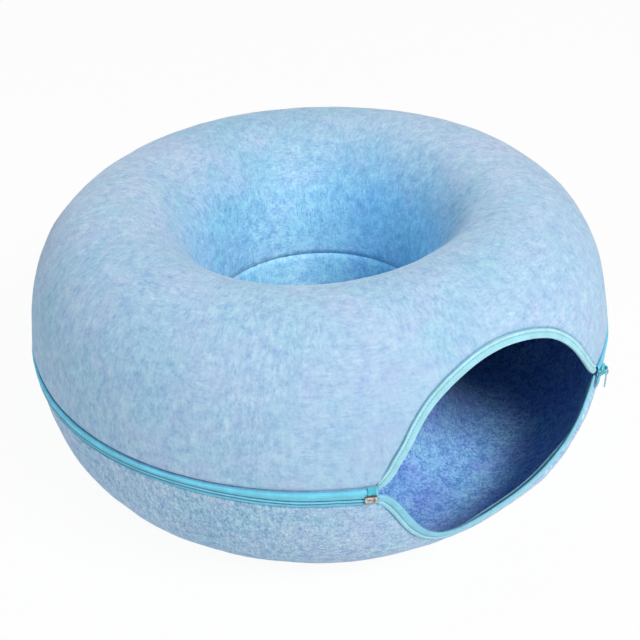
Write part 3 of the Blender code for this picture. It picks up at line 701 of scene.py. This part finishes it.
def set_beads(places, size, unevenness, seed, material, carrier=None):
    """A plain mesh of beads on spots with their ways along and out, joined with a carrier mesh."""
    spots, along, out = places
    mesh = bpy.data.meshes.new("spots")
    mesh.from_pydata(spots.tolist(), [], [])
    store_vector(mesh, "along", along)
    store_vector(mesh, "out", out)
    item = bpy.data.objects.new("spots", mesh)
    bpy.context.scene.collection.objects.link(item)
    nodes = item.modifiers.new("beads", "NODES")
    nodes.node_group = beads
    given = {"Bead size": size, "Unevenness": unevenness, "Seed": seed, "Material": material}
    for socket in beads.interface.items_tree:
        if socket.in_out == "INPUT" and socket.name in given:
            nodes[socket.identifier] = given[socket.name]
    plain = bpy.data.meshes.new_from_object(item.evaluated_get(bpy.context.evaluated_depsgraph_get()))
    bpy.data.objects.remove(item)
    for layer in ("along", "out"):
        if layer in plain.attributes:
            plain.attributes.remove(plain.attributes[layer])
    if carrier is not None:
        shape = bmesh.new()
        shape.from_mesh(plain)
        shape.from_mesh(carrier)
        shape.to_mesh(plain)
        shape.free()
    return plain


def ring_spots(start, end, pitch, shift, radius, level, side):
    """Spots round the ring with the ways along it and out of it."""
    count = round((end - start) * radius / pitch)
    angle = MOUTH_ANGLE + start + (np.arange(count) + shift) * (end - start) / count
    spots = ring_points(radius, angle, SEAM_HEIGHT + side * level + drift(angle, level, side))
    return spots, ring_points(1, angle + math.pi / 2, 0), ring_points(1, angle, 0)


def dyed_material(name, roughness, grain, stops, detail=2.0, rough=0.5, **sockets):
    """The material of a small part: its colour varies a little between the stops of a ramp."""
    material, tree, shader = new_material(name, roughness, **sockets)
    shade = ramp(tree, noise_value(tree, object_place(tree), grain, detail, rough), stops)
    tree.links.new(shade, shader.inputs["Base Color"])
    return material


nylon = dyed_material("cyan_nylon_coil", 0.42, 300,
                      [(0.3, (0.200, 0.600, 0.780)), (0.7, (0.280, 0.700, 0.860))],
                      Specular_IOR_Level=0.45, Coat_Weight=0.15, Coat_Roughness=0.35)
for half, side in HALVES:
    cord = ring_sweep(CORD_SECTION, side, CHAIN_START, CHAIN_END)
    loops = ring_spots(CHAIN_START, CHAIN_END, LOOP_PITCH, 0.25 + side * 0.25, COIL_RADIUS, COIL_LEVEL, side)
    coil = set_beads(loops, LOOP_SIZE, 0.03, 11 + side, nylon, cord)
    add_piece(half + "_coil", coil, nylon, [half + "_zip_coil"], half + "_half")

# The sewing of the zip. A lockstitch in cyan thread holds each tape to its rim, and pulls the tape
# down into the felt along its line.
TAPE_SEWING = {1: (0.00220, 0.25080), -1: (0.0027, 0.24986)}
FOLDED_TURN = math.radians(28.82)
STITCH_PITCH, STITCH_SIZE = 0.0027, (0.0022, 0.00030, 0.00026)
thread = dyed_material("cyan_thread", 0.55, 700, [(0.3, (0.130, 0.500, 0.660)), (0.7, (0.200, 0.620, 0.780))],
                       Specular_IOR_Level=0.4)
for half, side in HALVES:
    level, radius = TAPE_SEWING[side]
    start, end = (TAPE_START, FOLDED_TURN) if side > 0 else (FOLDED_TURN, TAPE_START)
    stitches = ring_spots(start, 2 * math.pi - end, STITCH_PITCH, 0.5, radius, level, side)
    sewing = set_beads(stitches, STITCH_SIZE, 0.12, 21 + side, thread)
    add_piece(half + "_tape_sewing", sewing, thread, [half + "_zip_stitching"], half + "_half")

# The mouth's edge tapes. Each half's cut edge is pressed thin and bound in a folded woven tape, whose
# raised hems carry a painted highlight. At the corners the tape is cut square against the end of the zip
# tape.
EDGE_LEAST = 0.0019
EDGE_SEWING = {1: 0.0036, -1: 0.0046}
BOW = 4.8
SQUARE_START = math.radians(24.6)
HIDDEN_FACE = 0.00045
LIP = 0.0023


def unit(vectors):
    """Vectors brought to length 1."""
    return vectors / np.linalg.norm(vectors, axis=1)[:, None]


def edge_frames(side, step):
    """Evenly spaced places on the cut edge, with the ways along it, out of the felt and into it."""
    fine = np.linspace(-BINDING_END, BINDING_END, 6001)
    angle = MOUTH_ANGLE + fine
    place, normal = on_wall(angle, edge_height(angle, side, EDGE_LEAST), side)
    travel = travel_along(place)
    length = np.linspace(0, travel[-1], round(travel[-1] / step) + 1)
    place, normal = resampled(place, travel, length), unit(resampled(normal, travel, length))
    along = unit(np.gradient(place, axis=0))
    into = unit(np.cross(along, normal))
    into *= np.sign(into[len(into) // 2, 2]) * side
    for smoothing in range(12):
        into[1:-1] = unit(into[:-2] + 2 * into[1:-1] + into[2:])
    upright = np.array([0, 0, side]) - (side * normal[:, 2])[:, None] * normal
    turn = np.abs(np.interp(length, travel, fine))
    share = eased(np.clip((turn - SQUARE_START) / (BINDING_END - SQUARE_START), 0, 1))[:, None]
    into = unit(into * (1 - share) + unit(upright) * share)
    return place, along, normal, into, length


def binding_section(side):
    """The folded tape's faces as (back from the cut edge, out of the felt), and the fold's middle."""
    width = BINDING_WIDTH[side]
    back = np.concatenate([[width], np.linspace(width - 0.00012, 0.0004, 27), [0]])
    outer = np.interp(back, *in_metres(BINDING_FACE_MM[side]))
    outer[1:-1] = (outer[:-2] + 2 * outer[1:-1] + outer[2:]) / 4
    inner = -np.interp(back, *in_metres(EDGE_FELT_MM[side])) - BINDING_CLOTH
    if side < 0:
        inner -= 0.0007 * np.clip((back - EDGE_SEWING[side]) / 0.002, 0, 1) * (back < width)
    turn = np.linspace(math.pi / 2, -math.pi / 2, 11)[1:-1]
    middle, half = (outer[-1] + inner[-1]) / 2, (outer[-1] - inner[-1]) / 2
    fold_b = -0.0010 * np.abs(np.cos(turn)) ** 0.75
    fold_n = middle + half * np.sign(np.sin(turn)) * np.abs(np.sin(turn)) ** 0.85
    hidden_n = np.concatenate([outer - HIDDEN_FACE, middle + (fold_n - middle) * 0.75,
                               inner[::-1] + HIDDEN_FACE])
    shown_b, hidden_b = [np.concatenate([back, fold_b + shift, back[::-1]]) for shift in (0, 0.0005)]
    return (np.concatenate([shown_b, hidden_b[::-1]]),
            np.concatenate([outer, fold_n, inner[::-1], hidden_n[::-1]]), middle)


def binding(side):
    """The folded tape over one cut edge, with a lip along the lower one's inner edge."""
    place, along, normal, into, length = edge_frames(side, 0.0011)
    b, n, middle = binding_section(side)
    length = length[:, None]
    stretch = 0.6 * np.sin(length * 2 * math.pi / 0.031) + 0.4 * np.sin(length * 2 * math.pi / 0.013 + 1)
    b = b * (1 + 0.012 * stretch)
    pucker = 0.00008 * np.cos(2 * math.pi * length / STITCH_PITCH)
    n = n + pucker * hump(b, EDGE_SEWING[side], 0.0016)
    degrees = np.degrees(np.arctan2(place[:, 1], place[:, 0]))[:, None]
    lip = (n < middle) * np.interp(degrees, (-66, -59, -41, -34), (0, 1, 1, 0)) * (side < 0)
    n = n - LIP * lip * hump(b, 0.0019, 0.0010) - BOW * np.clip(b, 0, 1) ** 2
    mesh = quad_mesh(place[:, None] + b[:, :, None] * into[:, None] + n[:, :, None] * normal[:, None], False)
    store_vector(mesh, "weave", np.stack(np.broadcast_arrays(length, b, lip), axis=2))
    return mesh


edge_cloth = {
    # Painted highlights on the fold and the raised hem, and painted shade along the stitched groove and the
    # outer edge.
    1: woven_material("upper_edge_tape_cloth", (0.400, 0.785, 0.885),
                      [(-1.0, (1.15, 1.06, 1.04)), (-0.4, (1.15, 1.06, 1.04)), (0.6, even), (2.8, even),
                       (3.6, (0.80, 0.90, 0.95)), (4.3, (1.30, 1.08, 1.05)), (5.4, (1.40, 1.10, 1.06)),
                       (6.0, (0.80, 0.90, 0.95)), (6.4, (0.50, 0.70, 0.78))]),
    # Painted shade at the far side of the fold, along the stitched groove and at the outer edge, and a
    # painted highlight on the raised hem.
    -1: woven_material("lower_edge_tape_cloth", (0.310, 0.745, 0.900),
                       [(-1.0, (0.80, 0.90, 0.95)), (-0.5, (0.98, 0.97, 0.99)), (0.3, (0.98, 0.96, 0.99)),
                        (3.9, (1.02, 0.97, 0.99)), (4.6, (0.30, 0.62, 0.66)), (5.1, (1.20, 0.98, 0.98)),
                        (7.2, (1.25, 1.00, 0.98)), (8.0, (0.70, 0.82, 0.86))],
                       # The lip's inner lines: painted shade behind the lip and a painted highlight on its
                       # edge.
                       inner_lines=[(-0.85, even), (-0.6, (0.14, 0.36, 0.44)), (1.0, (0.10, 0.30, 0.40)),
                                    (1.25, (0.10, 0.30, 0.40)), (1.5, (2.3, 1.34, 1.20)),
                                    (2.6, (2.3, 1.34, 1.20)), (4.5, even)])}
for half, side in HALVES:
    add_piece(half + "_edge_tape", binding(side), edge_cloth[side], [half + "_mouth_binding"],
              half + "_half")

# The sewing of the edge tapes. One row of stitches in darker thread runs along the outside of each, and
# draws the folded tape down in a groove.
EDGE_STITCH_LENGTH = {1: 0.0014, -1: 0.0019}
EDGE_DYE = {1: [(0.35, (0.030, 0.230, 0.290)), (0.65, (0.080, 0.400, 0.450))],
            -1: [(0.35, (0.035, 0.260, 0.300)), (0.65, (0.070, 0.380, 0.430))]}
for half, side in HALVES:
    place, along, normal, into, length = edge_frames(side, 0.0024)
    line = EDGE_SEWING[side]
    low = np.interp(line, *in_metres(BINDING_FACE_MM[side])) + 0.00008 - BOW * line ** 2
    spots = place + line * into + low * normal
    dark_thread = dyed_material(half + "_edge_thread", 0.6, 500, EDGE_DYE[side])
    stitch = (EDGE_STITCH_LENGTH[side], 0.00042, 0.00036)
    sewing = set_beads((spots[1:-1], along[1:-1], normal[1:-1]), stitch, 0.15, 31 + side, dark_thread)
    add_piece(half + "_edge_sewing", sewing, dark_thread, [half + "_mouth_stitching"],
              half + "_half")

# The ends of the zip at the mouth's left corner. The upper tape's end is turned under and shows as a
# darker, creased patch. Below it a beige moulded box on the lower tape takes the upper tape's pin.
BOX_ANGLE, BOX_RADIUS = -82.85, 0.2515
PATCH_RADIUS = 0.2520
HEM = 0.0007
BOX_BLOCKS_MM = [(-4.3, 4.3, -4.0, 1.4, 1.4, 0.1, 1.6, 0.5), (-3.0, 3.2, -3.4, -2.4, 0.4, 1.4, 2.2, 0.3),
                 (-3.0, 3.2, -0.4, 0.8, 0.4, 1.4, 2.2, 0.3), (-2.8, -1.8, -2.5, -0.3, 0.3, 1.4, 2.0, 0.2),
                 (1.2, 2.4, -2.5, -0.3, 0.3, 1.4, 2.0, 0.2)]
PIN_BLOCKS_MM = [(-4.3, 4.4, 1.5, 2.2, 0.3, 0.6, 1.6, 0.3), (0.0, 4.2, 1.5, 2.4, 0.4, 0.8, 2.0, 0.3)]


def at_angle(points, degrees, radius):
    """Puts points given as (along the ring, up from the seam, out) at an angle round the ring."""
    points = np.asarray(points, dtype=float)
    angle = math.radians(degrees)
    along = np.array([-math.sin(angle), math.cos(angle), 0])
    out = np.array([math.cos(angle), math.sin(angle), 0])
    middle = radius * out + np.array([0, 0, SEAM_HEIGHT])
    return middle + points[..., :1] * along + points[..., 1:2] * np.array([0, 0, 1]) + points[..., 2:] * out


def rounded_outline(corners, radius, steps=5):
    """An outline with its corners rounded, from corner points in order."""
    corners = np.array(corners, dtype=float)
    points = []
    for k, here in enumerate(corners):
        before, after = corners[k - 1] - here, corners[(k + 1) % len(corners)] - here
        sizes = np.linalg.norm(before), np.linalg.norm(after)
        reach = min(radius, 0.45 * sizes[0], 0.45 * sizes[1])
        for f in np.linspace(0, 1, steps):
            points.append(here + reach * ((1 - f) ** 2 * before / sizes[0] + f ** 2 * after / sizes[1]))
    return np.array(points)


def skin(shape, rings):
    """Faces between one ring of points and the next."""
    count = len(rings[0])
    for near, far in zip(rings, rings[1:]):
        for k in range(count):
            shape.faces.new((near[k], near[(k + 1) % count], far[(k + 1) % count], far[k]))


def plate(outline, low, high, bevel, rows=3):
    """A flat piece with rounded edges: an outline in (along, up) given thickness outwards."""
    outline = np.asarray(outline, dtype=float)
    ways = np.roll(outline, -1, axis=0) - np.roll(outline, 1, axis=0)
    inwards = unit(np.stack([-ways[:, 1], ways[:, 0]], axis=1))
    if ((outline.mean(axis=0) - outline) * inwards).sum() < 0:
        inwards = -inwards
    turns = np.linspace(0, math.pi / 2, rows + 1)
    levels = [(bevel * (1 - math.sin(t)), low + bevel * (1 - math.cos(t))) for t in turns]
    levels += [(bevel * (1 - math.sin(t)), high - bevel * (1 - math.cos(t))) for t in turns[::-1]]
    shape = bmesh.new()
    rings = [[shape.verts.new((x, y, level)) for x, y in outline + inset * inwards]
             for inset, level in levels]
    skin(shape, rings)
    for ring in (rings[0], rings[-1]):
        hub = shape.verts.new(sum((vert.co for vert in ring), Vector()) / len(ring))
        for k in range(len(ring)):
            shape.faces.new((ring[k], ring[(k + 1) % len(ring)], hub))
    return shape


def block(left, right, foot, top, corner, back, front, bevel):
    """A small moulded block with rounded corners and edges. All its sizes are in millimetres."""
    corners = in_metres([(left, foot), (right, foot), (right, top), (left, top)])
    return plate(rounded_outline(corners, corner / 1000), back / 1000, front / 1000, bevel / 1000)


def solid_mesh(shapes, degrees, radius):
    """One mesh from several solids built flat, set on the ring."""
    whole = bmesh.new()
    for shape in shapes:
        part = bpy.data.meshes.new("part")
        shape.to_mesh(part)
        shape.free()
        whole.from_mesh(part)
        bpy.data.meshes.remove(part)
    places = at_angle([tuple(vert.co) for vert in whole.verts], degrees, radius)
    for vert, place in zip(whole.verts, places):
        vert.co = Vector(place)
    bmesh.ops.recalc_face_normals(whole, faces=whole.faces)
    mesh = bpy.data.meshes.new("solid")
    whole.to_mesh(mesh)
    whole.free()
    return mesh


def folded_patch(degrees, width, low, high, thickness, creases, lift, tilt):
    """A turned-under tape end: a small cloth patch with upright creases, tilted back at the top."""
    across = np.linspace(-width / 2, width / 2, 29)[:, None]
    up = np.linspace(low, high, 15)[None, :]
    edge = np.clip(np.minimum(across + width / 2, width / 2 - across) / HEM, 0, 1)
    ends = np.clip(np.minimum(up - low, high - up) / HEM, 0, 1)
    fold = sum(depth * hump(across, place, size) for place, depth, size in creases)
    lie = lift - tilt * (up - low) / (high - low)
    out = lie + thickness / 2 * np.sqrt(edge * (2 - edge) * ends * (2 - ends) + 0.02) - fold
    face, back = [np.stack(np.broadcast_arrays(across, up, level), axis=2)
                  for level in (out, lie - thickness / 2)]
    weave = np.concatenate([face, back[:, ::-1]], axis=1)
    mesh = quad_mesh(at_angle(weave, degrees, PATCH_RADIUS), False)
    store_vector(mesh, "weave", weave)
    return mesh


folded_cloth = woven_material("folded_tape_cloth", (0.105, 0.560, 0.680), [(0.0, even), (9.0, even)], 0.65,
                              (0.80, 1.15))
creases = [(-0.0022, 0.00035, 0.0004), (0.0002, 0.0005, 0.00045), (0.0020, 0.00030, 0.0004)]
upper_end = folded_patch(-82.66, width=0.0060, low=0.0024, high=0.0084, thickness=0.0012,
                         creases=creases, lift=0.0, tilt=0.0011)
add_piece("upper_tape_end", upper_end, folded_cloth, ["upper_tape_end"], "upper_half")

box_nylon = dyed_material("beige_nylon", 0.5, 420, [
    (0.36, (0.200, 0.150, 0.130)), (0.46, (0.560, 0.470, 0.420)), (0.60, (0.740, 0.660, 0.620))],
    3.0, 0.65, Specular_IOR_Level=0.45)
dark_nylon = dyed_material("dark_pin", 0.45, 600, [
    (0.3, (0.035, 0.035, 0.045)), (0.7, (0.110, 0.095, 0.090))], Specular_IOR_Level=0.45)
box = solid_mesh([block(*sizes) for sizes in BOX_BLOCKS_MM], BOX_ANGLE, BOX_RADIUS)
add_piece("retainer_box", box, box_nylon, ["retainer_box"], "lower_half")
pin = solid_mesh([block(*sizes) for sizes in PIN_BLOCKS_MM], BOX_ANGLE, BOX_RADIUS)
add_piece("insertion_pin", pin, dark_nylon, ["insertion_pin"], "upper_half")

# The free end of the lower tape hangs below the slider at the right corner, next to the two top stops
# that are moulded on the ends of the coils.
STOP_ANGLE = -26.92
ZIP_RADIUS = 0.2512
pale_cloth = woven_material("tape_end_cloth", (0.230, 0.680, 0.860), [(0.0, even), (9.0, even)], 0.65)
creases = [(0.0000, 0.0009, 0.0004), (-0.0022, 0.0003, 0.0004)]
lower_end = folded_patch(-26.58, width=0.0072, low=-0.0126, high=-0.0036, thickness=0.0013,
                         creases=creases, lift=-0.0010, tilt=-0.0006)
add_piece("lower_tape_end", lower_end, pale_cloth, ["lower_tape_end"], "lower_half")
stop_nylon = dyed_material("stop_nylon", 0.35, 500, [
    (0.3, (0.110, 0.430, 0.540)), (0.7, (0.200, 0.620, 0.720))], Specular_IOR_Level=0.5)
for half, side in HALVES:
    stop = solid_mesh([block(-1.1, 1.1, side * 0.6, side * 2.5, 0.5, -0.2, 1.2, 0.4)], STOP_ANGLE, ZIP_RADIUS)
    add_piece(half + "_stop", stop, stop_nylon, [half + "_top_stop"], half + "_half")

# The slider: a die-cast body in cyan enamel. An outer and an inner plate are joined by a neck between
# the two tapes, and an arched bridge on the outside holds the pull's link.
SLIDER_ANGLE = -25.544
BRIDGE_REACH = 0.0036
enamel = dyed_material("cyan_enamel", 0.30, 500, [
    (0.32, (0.050, 0.400, 0.500)), (0.55, (0.090, 0.560, 0.660)), (0.72, (0.200, 0.690, 0.780))],
    3.0, 0.6, Specular_IOR_Level=0.5, Coat_Weight=0.35, Coat_Roughness=0.2)


def mirrored(half_outline):
    """A closed outline from its upper half, from left to right, and the same turned over."""
    return [(x, -y) for x, y in half_outline] + half_outline[::-1]


slider_outline = rounded_outline(mirrored([(-0.0047, 0.0032), (-0.0018, 0.0047), (0.0030, 0.0047),
                                           (0.0046, 0.0030)]), 0.0012)
neck_outline = rounded_outline([(0.0010, 0), (0.0026, -0.0005), (0.0042, 0), (0.0026, 0.0005)], 0.0003, 4)
slider_shapes = [plate(outline, low, high, bevel) for outline, low, high, bevel in (
    (slider_outline, 0.0004, 0.0028, 0.0011), (slider_outline, -0.0039, -0.0030, 0.0003),
    (neck_outline, -0.0032, 0.0008, 0.0001))]
for side in (1, -1):
    flange = rounded_outline([(-0.0036, side * 0.0035), (0.0034, side * 0.0043), (0.0034, side * 0.0037),
                              (-0.0036, side * 0.0029)], 0.0002, 3)
    slider_shapes.append(plate(flange, -0.0032, -0.0016, 0.0002))
slider = solid_mesh(slider_shapes, SLIDER_ANGLE, ZIP_RADIUS)
add_piece("slider", slider, enamel, ["slider_body"], "slider")


def bridge_arch():
    """The bridge: a strap bent over in an arch, a little wider at its feet."""
    turn = np.linspace(0, math.pi, 17)
    arch = np.stack([BRIDGE_REACH * np.cos(turn), 0.0026 + 0.0026 * np.sin(turn) ** 0.6], axis=1)
    shape = bmesh.new()
    rings = []
    for k, (x, z) in enumerate(arch):
        ahead_x, ahead_z = arch[min(k + 1, 16)] - arch[max(k - 1, 0)]
        out = np.array([-ahead_z, ahead_x]) / np.hypot(ahead_x, ahead_z)
        out = out if out[1] > 0 else -out
        half = 0.0016 + 0.0003 * abs(x) / BRIDGE_REACH
        strap = [(-half, 0.0), (-0.8 * half, 0.0005), (0.8 * half, 0.0005), (half, 0.0),
                 (0.8 * half, -0.0004), (-0.8 * half, -0.0004)]
        rings.append([shape.verts.new((x + n * out[0], w, z + n * out[1])) for w, n in strap])
    skin(shape, rings)
    shape.faces.new(rings[0])
    shape.faces.new(rings[-1][::-1])
    return shape


bridge = solid_mesh([bridge_arch()], SLIDER_ANGLE, ZIP_RADIUS)
add_piece("bridge", bridge, enamel, ["slider_bridge"], "slider")

# The pull: a thin cast tab with a raised rim and a hole, hung on an oval loop of plain wire that goes
# through the slider's bridge.
LINK_RADIUS, LINK_BEND, LINK_STRAIGHT, LINK_WIRE = 0.25605, 0.0012, 0.0026, 0.0004
EYE_LEVEL, EYE_RADIUS, HOLE_SIZE = -0.0038, 0.0016, 0.0008
TAB_END, TAB_HALF = -0.0168, 0.0019
RIM_HALF, PANEL_HALF = 0.0005, 0.0002


def wire_loop():
    """A closed oval of round wire that hangs from its upper bend."""
    turns = np.linspace(0, 2 * math.pi, 37)[:-1]
    path = np.array([(0, (0 if math.sin(t) > 0 else -LINK_STRAIGHT) + LINK_BEND * math.sin(t),
                      LINK_BEND * math.cos(t)) for t in turns])
    ahead = unit(np.roll(path, -1, axis=0) - np.roll(path, 1, axis=0))
    first = unit(np.cross(ahead, (0.13, 0.21, 0.97)))
    second = np.cross(ahead, first)
    shape = bmesh.new()
    rings = []
    for place, one, two in zip(path, first, second):
        rings.append([shape.verts.new(place + LINK_WIRE * (math.cos(t) * one + math.sin(t) * two))
                      for t in np.arange(10) * 2 * math.pi / 10])
    skin(shape, rings + rings[:1])
    return shape


def band_plate(outer, inner, half, bevel):
    """A flat ring between two outlines with the same number of points, with rounded edges."""
    inwards = unit(inner - outer)
    section = [(outer + bevel * inwards, -half), (outer, bevel - half), (outer, half - bevel),
               (outer + bevel * inwards, half), (inner - bevel * inwards, half), (inner, half - bevel),
               (inner, bevel - half), (inner - bevel * inwards, -half)]
    shape = bmesh.new()
    rings = [[shape.verts.new((x, y, level)) for x, y in line] for line, level in section]
    skin(shape, rings + rings[:1])
    return shape


def tab_outline():
    """The tab's outline: round at its lower end and narrower towards its eye."""
    up = np.linspace(TAB_END, EYE_LEVEL - HOLE_SIZE, 25)
    round_end = np.sqrt(np.clip(1 - np.clip((TAB_END + TAB_HALF - up) / TAB_HALF, 0, 1) ** 2, 0, 1))
    narrowing = 1 - 0.42 * np.clip((up - TAB_END) / (EYE_LEVEL - TAB_END), 0, 1) ** 1.5
    wide = np.maximum(TAB_HALF * round_end * narrowing, 0.0003)
    return np.concatenate([np.stack([wide, up], axis=1), np.stack([-wide, up], axis=1)[::-1]])


wire = dyed_material("plain_wire", 0.35, 900, [(0.3, (0.40, 0.46, 0.48)), (0.7, (0.58, 0.63, 0.65))],
                     Metallic=1.0)
link = solid_mesh([wire_loop()], SLIDER_ANGLE, LINK_RADIUS)
add_piece("pull_wire", link, wire, ["pull_link"], "link")

turns = np.linspace(0, 2 * math.pi, 33)[:-1]
circle = np.stack([np.cos(turns), np.sin(turns)], axis=1)
eye_middle, tab_middle = np.array([0, EYE_LEVEL]), np.array([0, (TAB_END + EYE_LEVEL) / 2])
tab_edge = tab_outline()
recess, panel = [tab_middle + (tab_edge - tab_middle) * share for share in ((0.66, 0.86), (0.75, 0.90))]
tab_shapes = [band_plate(eye_middle + EYE_RADIUS * circle, eye_middle + HOLE_SIZE * circle, RIM_HALF, 0.0002),
              band_plate(tab_edge, recess, RIM_HALF, 0.0002), plate(panel, -PANEL_HALF, PANEL_HALF, 0.0001)]
tab_enamel = dyed_material("pull_enamel", 0.35, 500, [
    (0.3, (0.300, 0.560, 0.610)), (0.7, (0.480, 0.700, 0.730))], Metallic=0.4)
pull = solid_mesh(tab_shapes, SLIDER_ANGLE, LINK_RADIUS)
add_piece("pull", pull, tab_enamel, ["pull_tab"], "pull")

# The stage: a plain white floor that keeps a soft shadow, soft lamps of which the strongest is at the
# upper right and in front, and the camera at the photograph's angle.
FLOOR_REACH = 6
FLOOR_GLOW = 0.94
VIEW_TILT, VIEW_ROLL = math.radians(33.43), math.radians(-2.283)
VIEW_DISTANCE = 0.9913
VIEW_AIM = 0.1021
LAMPS = (("key_lamp", (1.300, -1.091, 1.797), 0.6, 23, (1, 1, 1)),
         ("front_lamp", (0.837, -1.575, 1.706), 0.6, 21, (1, 1, 1)),
         ("left_back_lamp", (-1.2, 1.3, 1.7), 1.4, 10, (1, 1, 1)),
         ("right_back_lamp", (1.0, 1.5, 1.7), 1.2, 10, (1, 1, 1)),
         ("left_lamp", (-1.8, -0.6, 1.2), 1.2, 12, (0.84, 0.95, 1.0)))


def seen_directly(tree):
    """1 for a ray from the camera, also after a mirror or clear glass, and 0 for any other."""
    path = add_node(tree, "ShaderNodeLightPath").outputs
    seen = worked(tree, "ADD", path["Is Camera Ray"], path["Is Glossy Ray"])
    return worked(tree, "ADD", seen, path["Is Transmission Ray"], clamp=True)


def blended(tree, factor, first, second, output):
    """Joins two shaders, blended by a factor, to the tree's output."""
    mix = add_node(tree, "ShaderNodeMixShader", {0: factor, 1: first.outputs[0], 2: second.outputs[0]})
    tree.links.new(mix.outputs[0], output.inputs["Surface"])


white, tree, shader = new_material("white_floor", 0.9, Base_Color=(0.90, 0.90, 0.90, 1))
glow = add_node(tree, "ShaderNodeEmission", {"Color": (1, 1, 1, 1), "Strength": 1.0})
blended(tree, times(tree, seen_directly(tree), FLOOR_GLOW), shader, glow, tree.nodes["Material Output"])
floor_mesh = bpy.data.meshes.new("floor")
corners = [(x * FLOOR_REACH, y * FLOOR_REACH, 0) for x, y in ((-1, -1), (1, -1), (1, 1), (-1, 1))]
floor_mesh.from_pydata(corners, [], [(0, 1, 2, 3)])
put_in_scene("floor", floor_mesh, white)

world = bpy.data.worlds.new("studio")
world.use_nodes = True
tree = world.node_tree
tree.nodes.clear()
room = add_node(tree, "ShaderNodeBackground", {"Color": (0.92, 0.97, 1.0, 1), "Strength": 0.06})
backdrop = add_node(tree, "ShaderNodeBackground", {"Color": (1, 1, 1, 1), "Strength": 1.0})
blended(tree, seen_directly(tree), room, backdrop, add_node(tree, "ShaderNodeOutputWorld"))
bpy.context.scene.world = world

for name, place, size, power, colour in LAMPS:
    lamp = bpy.data.lights.new(name, "AREA")
    lamp.size = size
    lamp.energy = power
    lamp.color = colour
    item = bpy.data.objects.new(name, lamp)
    item.location = place
    item.rotation_euler = (Vector((0, 0, 0.1)) - Vector(place)).to_track_quat("-Z", "Y").to_euler()
    bpy.context.scene.collection.objects.link(item)

ahead = Vector((0, math.cos(VIEW_TILT), -math.sin(VIEW_TILT)))
above = Vector((0, math.sin(VIEW_TILT), math.cos(VIEW_TILT)))
right = Vector((1, 0, 0))
camera_data = bpy.data.cameras.new("camera")
camera_data.sensor_width = 36
camera_data.lens = 61.93
camera_data.shift_x = 0.0009
camera_data.shift_y = -0.0003
camera = bpy.data.objects.new("camera", camera_data)
across = math.cos(VIEW_ROLL) * right + math.sin(VIEW_ROLL) * above
upwards = math.cos(VIEW_ROLL) * above - math.sin(VIEW_ROLL) * right
camera.matrix_world = Matrix.Translation(Vector((0, 0, VIEW_AIM)) - VIEW_DISTANCE * ahead) @ Matrix(
    (across, upwards, -ahead)).transposed().to_4x4()
bpy.context.scene.collection.objects.link(camera)
bpy.context.scene.camera = camera
bpy.context.scene.view_settings.view_transform = "Standard"
